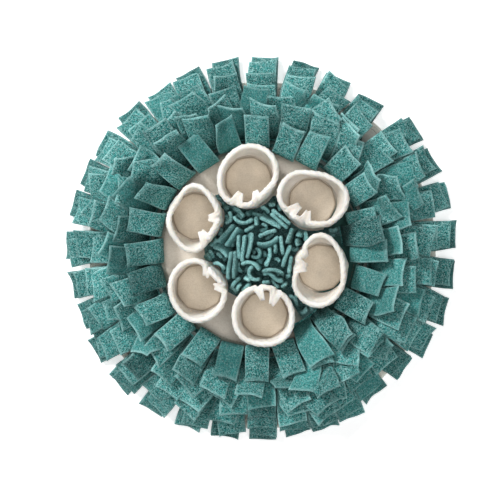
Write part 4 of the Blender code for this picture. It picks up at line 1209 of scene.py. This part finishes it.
def cupWall(number, row, chance):
    # Rings of points up the outside of the wall, over its soft rim and down the inside, with their marks
    shape = cupShape
    foot, rim, top = np.array(row["foot"]) * mm, np.array(row["rim"]) * mm, row["height"] * mm
    pleats = cupPleats(row, chance)
    angles = list(np.arange(shape["steps"]) * math.tau / shape["steps"])
    for middle, _, halfBase, *_ in pleats:
        angles += [middle + halfBase * share for share in np.linspace(-1.15, 1.15, shape["pleatSteps"])]
    angles = np.array(sorted({round(angle % math.tau, 4) for angle in angles}))
    outer = smoothRadius(row["radii"], angles)
    phase = [chance.uniform(0, 6.28) for _ in range(6)]
    wave = shape["tilt"] * np.sin(2 * angles + number) + shape["wave"] * np.sin(5 * angles + phase[0])
    # each step of the section: level, how far inward, and the turn over the rim
    section = [(level, 0.0, None) for level in shape["outsideLevels"]]
    rimTurns = np.linspace(0.0, math.pi, shape["rimSteps"])
    section += [(1.0, (1 - math.cos(turn)) / 2, turn) for turn in rimTurns]
    section += [(level, 1.0, None) for level in shape["insideLevels"]]
    rings, seam, edge = [], [], []
    roundness = shape["rim"] / 2
    for index, (level, inward, turn) in enumerate(section):
        middle = foot + (rim - foot) * level
        outside = shape["footRadius"] + (outer - shape["footRadius"]) * level
        thick = smoothStep(shape["rimFrom"], 1.0, level)
        inside = outside - shape["wall"] - (shape["rim"] - shape["wall"]) * thick
        pull, dip, notch, turned = pleatPull(angles, pleats, level, inside)
        bulge = shape["bulge"] * math.sin(math.pi * level)
        folds = waves(shape["wrinkles"], angles, phase[1:4], level)
        wrinkle = shape["wrinkle"] * folds * math.sin(math.pi * min(max(level, 0.05), 0.95))
        fluff = shape["fluff"] * smoothStep(shape["fluffFrom"], 1.0, level)
        fluff = fluff * waves(shape["fluffs"], angles, (*phase[4:], 0.0), index)
        tuck = shape["tuck"] * math.exp(-level / shape["tuckLevel"])
        height = shape["foot"] + (top - roundness - shape["foot"]) * level
        shade = 0.0
        # the rim and the thick wall under it take the greyer edge colour: some wear, and painted shade that
        # tones down their strong light
        edgeWearAndShade = shape["edgeWearAndShade"] * thick
        if turn is not None:
            radius = (outside - notch) * (1 - inward) + (inside - pull) * inward + wrinkle * 0.5
            height = height + roundness * math.sin(turn) * (1 - 0.15 * dip)
            height = height - dip * shape["pleatDip"] * inward ** 1.5
            height = height - notch * 0.45 * (1 - inward) + fluff * 0.6
            edgeWearAndShade = 1.0
        elif inward == 0:
            radius = outside + bulge - notch - tuck + wrinkle
        else:
            radius = inside - bulge * 0.6 - pull + tuck * 0.4 + wrinkle * 0.7
            height = height - dip * shape["pleatDip"] * smoothStep(shape["dipFrom"], 1.0, level)
            # painted shade, darker down the inside of the wall; at its foot a dark seam line
            shade = shape["insideShade"] * (1 - level) ** 1.5
            if level < shape["seamLevel"]:
                shade = shape["seamShade"]
        rings.append(ringPoints(middle, radius + fluff, angles + turned * inward, height + wave * level))
        seam.append(shade)
        edge.append(edgeWearAndShade)
    marks = {"seam": np.repeat(seam, len(angles)), "cutEdge": np.repeat(edge, len(angles))}
    return rings, marks, float(outer.mean() - shape["rim"] / 2)


def buildCup(number, row):
    chance = random.Random(f"{seed}cup{number}")
    rings, marks, radius = cupWall(number, row, chance)
    rows, count = len(rings), len(rings[0])
    faces = gridFaces(rows, count)
    last = (rows - 1) * count
    for k in range(count):
        after = (k + 1) % count
        faces.append((last + k, last + after, after, k))
    marks["tone"] = chance.gauss(0, cupShape["toneSpread"])
    wall = makePiece(f"cup_{number}_wall", np.vstack(rings), faces, cloths["creamFleece"],
                     marks)
    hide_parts(f"cup_{number}")
    buildCupFloor(number, row, chance)


def buildCupFloor(number, row, chance):
    # The cup's knitted floor, cut with short straight sides and sewn in with dark thread; its darker, warmer
    # cloth is partly painted shade
    angles = np.arange(cupFloor["steps"]) * math.tau / cupFloor["steps"]
    inner = cupShape["footRadius"] - cupShape["wall"] - cupFloor["clear"]
    sides = cupFloor["sides"]
    bend = ((angles / math.tau * sides + chance.uniform(0, 1)) % 1.0) - 0.5
    cut = inner * math.cos(math.pi / sides) / np.cos(bend * math.tau / sides)
    cut = cut * cupFloor["straight"] + inner * (1 - cupFloor["straight"])
    centre = np.array(row["foot"]) * mm
    rings, seam = [], [0.0]
    for share, z, dark in cupFloor["rows"]:
        sag = cupFloor["sag"] * np.sin(3 * angles + share * 5) * (1 - abs(2 * share - 1))
        rings.append(ringPoints(centre, cut * share, angles, z * mm + sag * (z > cupFloor["sagAbove"])))
        seam += [dark] * len(angles)
    vertices, faces = discShell(centre, cupFloor["low"], rings, cupFloor["top"])
    floor = makePiece(f"cup_{number}_floor", vertices, faces, cloths["creamKnit"],
                      {"seam": seam + [0.0]})


# Centre tuft: strips of fleece standing on edge

tuft = {
    "centre": np.array((-2.5, 9.5)) * mm, "reach": 62.0 * mm, "cupGap": 1.8 * mm, "low": 5.6 * mm,
    # bearings in which the backing reaches out between the cups, and how much further
    "arms": ((12.0, 37.0 * mm), (-52.0, 38.0 * mm), (126.0, 14.0 * mm)), "armWidth": 24.0, "steps": 180,
    # the backing, and its rings: share of its reach, and height in mm
    "backing": 1.6 * mm,
    "backingRows": ((0.5, 0.0), (0.99, 0.0), (1.0, 0.8), (0.99, 1.6), (0.8, 1.7), (0.5, 1.6), (0.2, 1.6)),
    "stripThickness": 4.3 * mm, "sewnIn": 0.8 * mm, "endDrop": 1.8 * mm, "endLength": 2.2 * mm,
    "sway": 0.8 * mm, "unevenTop": 0.9 * mm, "thinEnd": (0.62, 1.2 * mm), "plump": 0.10,
    "planSteps": 96, "stepWidth": 1.6, "cutTop": (0.9, 0.97), "cutEnd": 1.5 * mm, "nap": (0.3, 1.0),
    "tone": 0.35, "toneSpread": 0.32, "shaded": (54.0 * mm, 70.0 * mm), "shadedTone": 1.3,
    # the backing's low tone is painted shade between the strips
    "backingTone": -0.9, "backingNap": 0.8,
    # strips sown between the tall ones: least gap, then ranges of width and height in mm, and most lean
    "fillers": ((4.1 * mm, (7, 20), (32, 42), 5.0), (2.9 * mm, (6, 15), (20, 31), 9.0)),
    "tries": 9000, "sownReach": 90.0, "sownCurl": 150, "clearOfCups": 2.2 * mm, "clearOfRim": 1.5 * mm,
    "lowLevel": 10.0, "tallSteps": 20, "sownSteps": 16,
}
# half of a strip's section: share of the half thickness, and of the height
stripSide = ((1.0, 0.0), (1.0, 0.25), (1.0, 0.5), (1.0, 0.72), (1.0, 0.88), (0.92, 0.955), (0.6, 0.99))
tuftStrips = (
    # x, y, bearing, width, curl, sway, height, lean
    (-32.5, -9.1, -94, 31, 4, 8, 44, -1), (-26.4, -8.6, -91, 31, -12, 6, 43, -1),
    (-22.0, 11.5, -91, 27, 5, 4, 42, 0), (-16.4, 9.6, -94, 30, -8, 6, 43, 0),
    (-8.8, 13.0, -100, 29, -10, 0, 46, 7), (-37.6, 27.0, -129, 27, 4, 0, 40, -9),
    (-29.8, 23.0, -128, 25, -4, 0, 42, -8), (-17.6, 38.0, -8, 26, 130, 0, 43, 0),
    (-10.0, 31.6, 34, 13, 30, 0, 39, 0), (-31.8, 43.0, -103, 16, -120, 0, 38, 0),
    (-2.6, 40.4, -78, 10, 10, 0, 40, 0), (12.6, 37.8, -27, 26, 12, 0, 43, -9),
    (22.6, 40.4, -39, 25, 12, 0, 44, 1), (24.8, 44.8, -41, 26, 8, 0, 43, 0),
    (7.6, 53.6, -42, 12, -60, 0, 38, 0), (11.4, 15.8, 15, 27, 80, 0, 41, 8),
    (9.4, 27.4, 16, 21, -24, 0, 42, 0), (1.0, 1.6, 60, 23, 250, 0, 38, 0),
    (12.4, -0.1, -106, 22, -60, 0, 40, 1), (18.6, 9.2, -81, 11, -40, 0, 36, 0),
    (25.4, 13.4, -86, 21, 14, 0, 43, 0), (33.4, 24.4, -108, 18, 20, 0, 42, -5),
    (30.4, 1.8, -108, 26, 22, 0, 44, 1), (34.6, -8.2, -94, 20, 12, 0, 42, 0),
    (-7.6, -6.6, -16, 24, -100, 0, 43, 0), (-9.6, -21.4, -62, 26, 190, 0, 41, 0),
    (16.4, -12.6, -4, 26, -80, 0, 41, 8), (16.4, -22.4, -12, 24, -10, 60, 39, 0),
    (-26.0, -28.0, -124, 14, 0, 0, 40, -1), (-41.0, 7.4, -34, 21, -70, 0, 40, -7),
)


def stripPlan(x, y, bearing, width, curl, sway, steps):
    # The line that a strip follows, bent evenly by curl and to and fro by sway
    fine = tuft["planSteps"]
    points = [np.zeros(2)]
    for k in range(fine):
        t = (k + 0.5) / fine - 0.5
        turn = math.radians(bearing + curl * t + sway * (6 * t * t - 0.5))
        points.append(points[-1] + np.array((math.cos(turn), math.sin(turn))) * (width * mm) / fine)
    points = np.array(points) - points[fine // 2]
    places = np.linspace(0, fine, steps + 1)
    plan = np.stack([np.interp(places, np.arange(fine + 1), points[:, i]) for i in range(2)], axis=1)
    return plan + np.array((x, y)) * mm


def stripShell(row, chance):
    # One strip on edge: rounded top, slightly wavy height and a soft lean
    *place, bearing, width, curl, sway, height, lean = row
    steps = max(8, int(width / tuft["stepWidth"]))
    plan = stripPlan(*place, bearing, width, curl, sway, steps)
    way = unit(np.gradient(plan, axis=0))
    normal = np.stack((-way[:, 1], way[:, 0]), axis=1)
    leaning = np.array((-math.sin(math.radians(bearing)), math.cos(math.radians(bearing)))) * -lean * mm
    foot = tuft["low"] + tuft["backing"] - tuft["sewnIn"]
    t = np.linspace(0, 1, steps + 1)
    phase = [chance.uniform(0, 6.28) for _ in range(4)]
    ends = np.minimum(t, 1 - t) * width * mm
    drop = np.clip(1 - ends / tuft["endLength"], 0, 1) ** 2 * tuft["endDrop"]
    topLine = height * mm + tuft["unevenTop"] * np.sin(t * 5 + phase[0]) - drop
    half = tuft["stripThickness"] / 2 * (1 + tuft["plump"] * np.sin(t * 14 + phase[1]))
    thin, thinLength = tuft["thinEnd"]
    half = half * np.interp(ends, (0.0, thinLength), (thin, 1.0))
    section = [(-side, share) for side, share in stripSide] + [(0.0, 1.0)] + list(reversed(stripSide))
    loop, edge = [], []
    for side, share in section:
        bend = tuft["sway"] * np.sin(share * 5 + t * 3 + phase[2]) * share
        spot = plan + leaning * (1 - share) + normal * (side * half + bend)[:, None]
        loop.append(np.column_stack((spot, foot + (topLine - foot) * share)))
        edge.append(np.full(steps + 1, smoothStep(*tuft["cutTop"], share)))
    loop = np.stack(loop, axis=1)
    rows, columns = loop.shape[:2]
    faces = gridFaces(rows, columns)
    for first in (0, (rows - 1) * columns):
        for k in range(columns // 2):
            a, b = first + k, first + columns - 1 - k
            faces.append((a, a + 1, b - 1, b) if a + 1 < b - 1 else (a, a + 1, b))
    cut = np.interp(ends, (0.0, tuft["cutEnd"]), (1.0, 0.0))
    edge = np.maximum(np.stack(edge, axis=1), cut[:, None])
    return loop.reshape(-1, 3), faces, edge.ravel()


def tuftReach(bearing):
    # How far the backing goes at one bearing, kept off the cups
    reach = tuft["reach"]
    for arm, longer in tuft["arms"]:
        aside = abs((math.degrees(bearing) - arm + 180) % 360 - 180)
        reach += longer * float(smoothStep(tuft["armWidth"], tuft["armWidth"] * 0.6, aside))
    keepOff = cupShape["footRadius"] + tuft["cupGap"]
    for row in cups:
        x, y = np.array(row["foot"]) * mm - tuft["centre"]
        turn = math.atan2(y, x) - bearing
        along, aside = math.hypot(x, y) * math.cos(turn), math.hypot(x, y) * math.sin(turn)
        if abs(aside) < keepOff and along > 0:
            reach = min(reach, along - math.sqrt(keepOff ** 2 - aside ** 2))
    return reach


def clearOfCups(points, height):
    # Smallest distance from a strip's plan to the cups' outsides at that height
    least = 1.0
    for row in cups:
        share = min(height / row["height"], 1.0)
        middle = (np.array(row["foot"]) * (1 - share) + np.array(row["rim"]) * share) * mm
        away = points - middle
        bearing = np.arctan2(away[:, 1], away[:, 0])
        outside = cupShape["footRadius"] * (1 - share) + smoothRadius(row["radii"], bearing) * share
        least = min(least, float((np.linalg.norm(away, axis=1) - outside).min()))
    return least


def sownStrips(chance):
    # Shorter strips between the tall ones, then low ones in the gaps left, which may lean further
    taken = [stripPlan(*row[:6], tuft["tallSteps"]) for row in tuftStrips]
    made = []
    reaches = [tuftReach(math.radians(degree)) for degree in range(361)]
    for gap, widths, heights, leans in tuft["fillers"]:
        for _ in range(tuft["tries"]):
            bearing, far = chance.uniform(0, math.tau), math.sqrt(chance.random()) * tuft["sownReach"]
            x, y = tuft["centre"] / mm + np.array((math.cos(bearing), math.sin(bearing))) * far
            if far * mm > reaches[int(math.degrees(bearing))]:
                continue
            width, curl = chance.uniform(*widths), chance.uniform(-tuft["sownCurl"], tuft["sownCurl"])
            height = chance.uniform(*heights)
            turn, lean = chance.uniform(0, 360), chance.uniform(-leans, leans)
            plan = stripPlan(x, y, turn, width, curl, 0, tuft["sownSteps"])
            if min(clearOfCups(plan, level) for level in (height, tuft["lowLevel"])) < tuft["clearOfCups"]:
                continue
            fromCentre = plan - tuft["centre"]
            if any(np.hypot(*p) > tuftReach(math.atan2(p[1], p[0])) - tuft["clearOfRim"] for p in fromCentre):
                continue
            if min(float(np.linalg.norm(plan[:, None] - other[None], axis=2).min()) for other in taken) > gap:
                taken.append(plan)
                made.append((x, y, turn, width, curl, 0, height, lean))
    return made


def buildTuft():
    chance = random.Random(f"{seed}tuft")
    parts = MeshParts()
    bearings = np.arange(tuft["steps"]) * math.tau / tuft["steps"]
    reach = np.array([tuftReach(bearing) for bearing in bearings])
    rings, edge = [], []
    for share, z in tuft["backingRows"]:
        rings.append(ringPoints(tuft["centre"], reach * share, bearings, tuft["low"] + z * mm))
        edge.append(float(share > 0.98))
    vertices, faces = discShell(tuft["centre"], tuft["low"], rings, tuft["low"] + tuft["backing"])
    edge = np.concatenate(([0.0], np.repeat(edge, len(bearings)), [0.0]))
    # the backing is painted dark, as shade between the strips
    parts.add(vertices, faces, cutEdge=edge, nap=tuft["backingNap"], tone=tuft["backingTone"])
    rows = list(tuftStrips) + sownStrips(chance)
    area = math.pi * float((reach ** 2).mean())
    for row in rows:
        vertices, faces, edge = stripShell(row, chance)
        far = np.hypot(*(np.array(row[:2]) * mm - tuft["centre"]))
        shade = tuft["shadedTone"] * float(smoothStep(*tuft["shaded"], far))
        tone = chance.gauss(tuft["tone"], tuft["toneSpread"]) - shade
        parts.add(vertices, faces, cutEdge=edge, tone=tone, nap=chance.uniform(*tuft["nap"]))
        area += row[3] * row[6] * mm * mm
    piece = parts.piece("tuftStrips", cloths["tuftFleece"], "tuft_fleece")
    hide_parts("centre_tuft")
    print("tuft made,", len(rows), "strips")


buildBase()
print("base disc hemmed")
buildPanel()
for number, row in enumerate(cups, 1):
    buildCup(number, row)
print("panel and cups sewn")
buildFringe()
buildTuft()
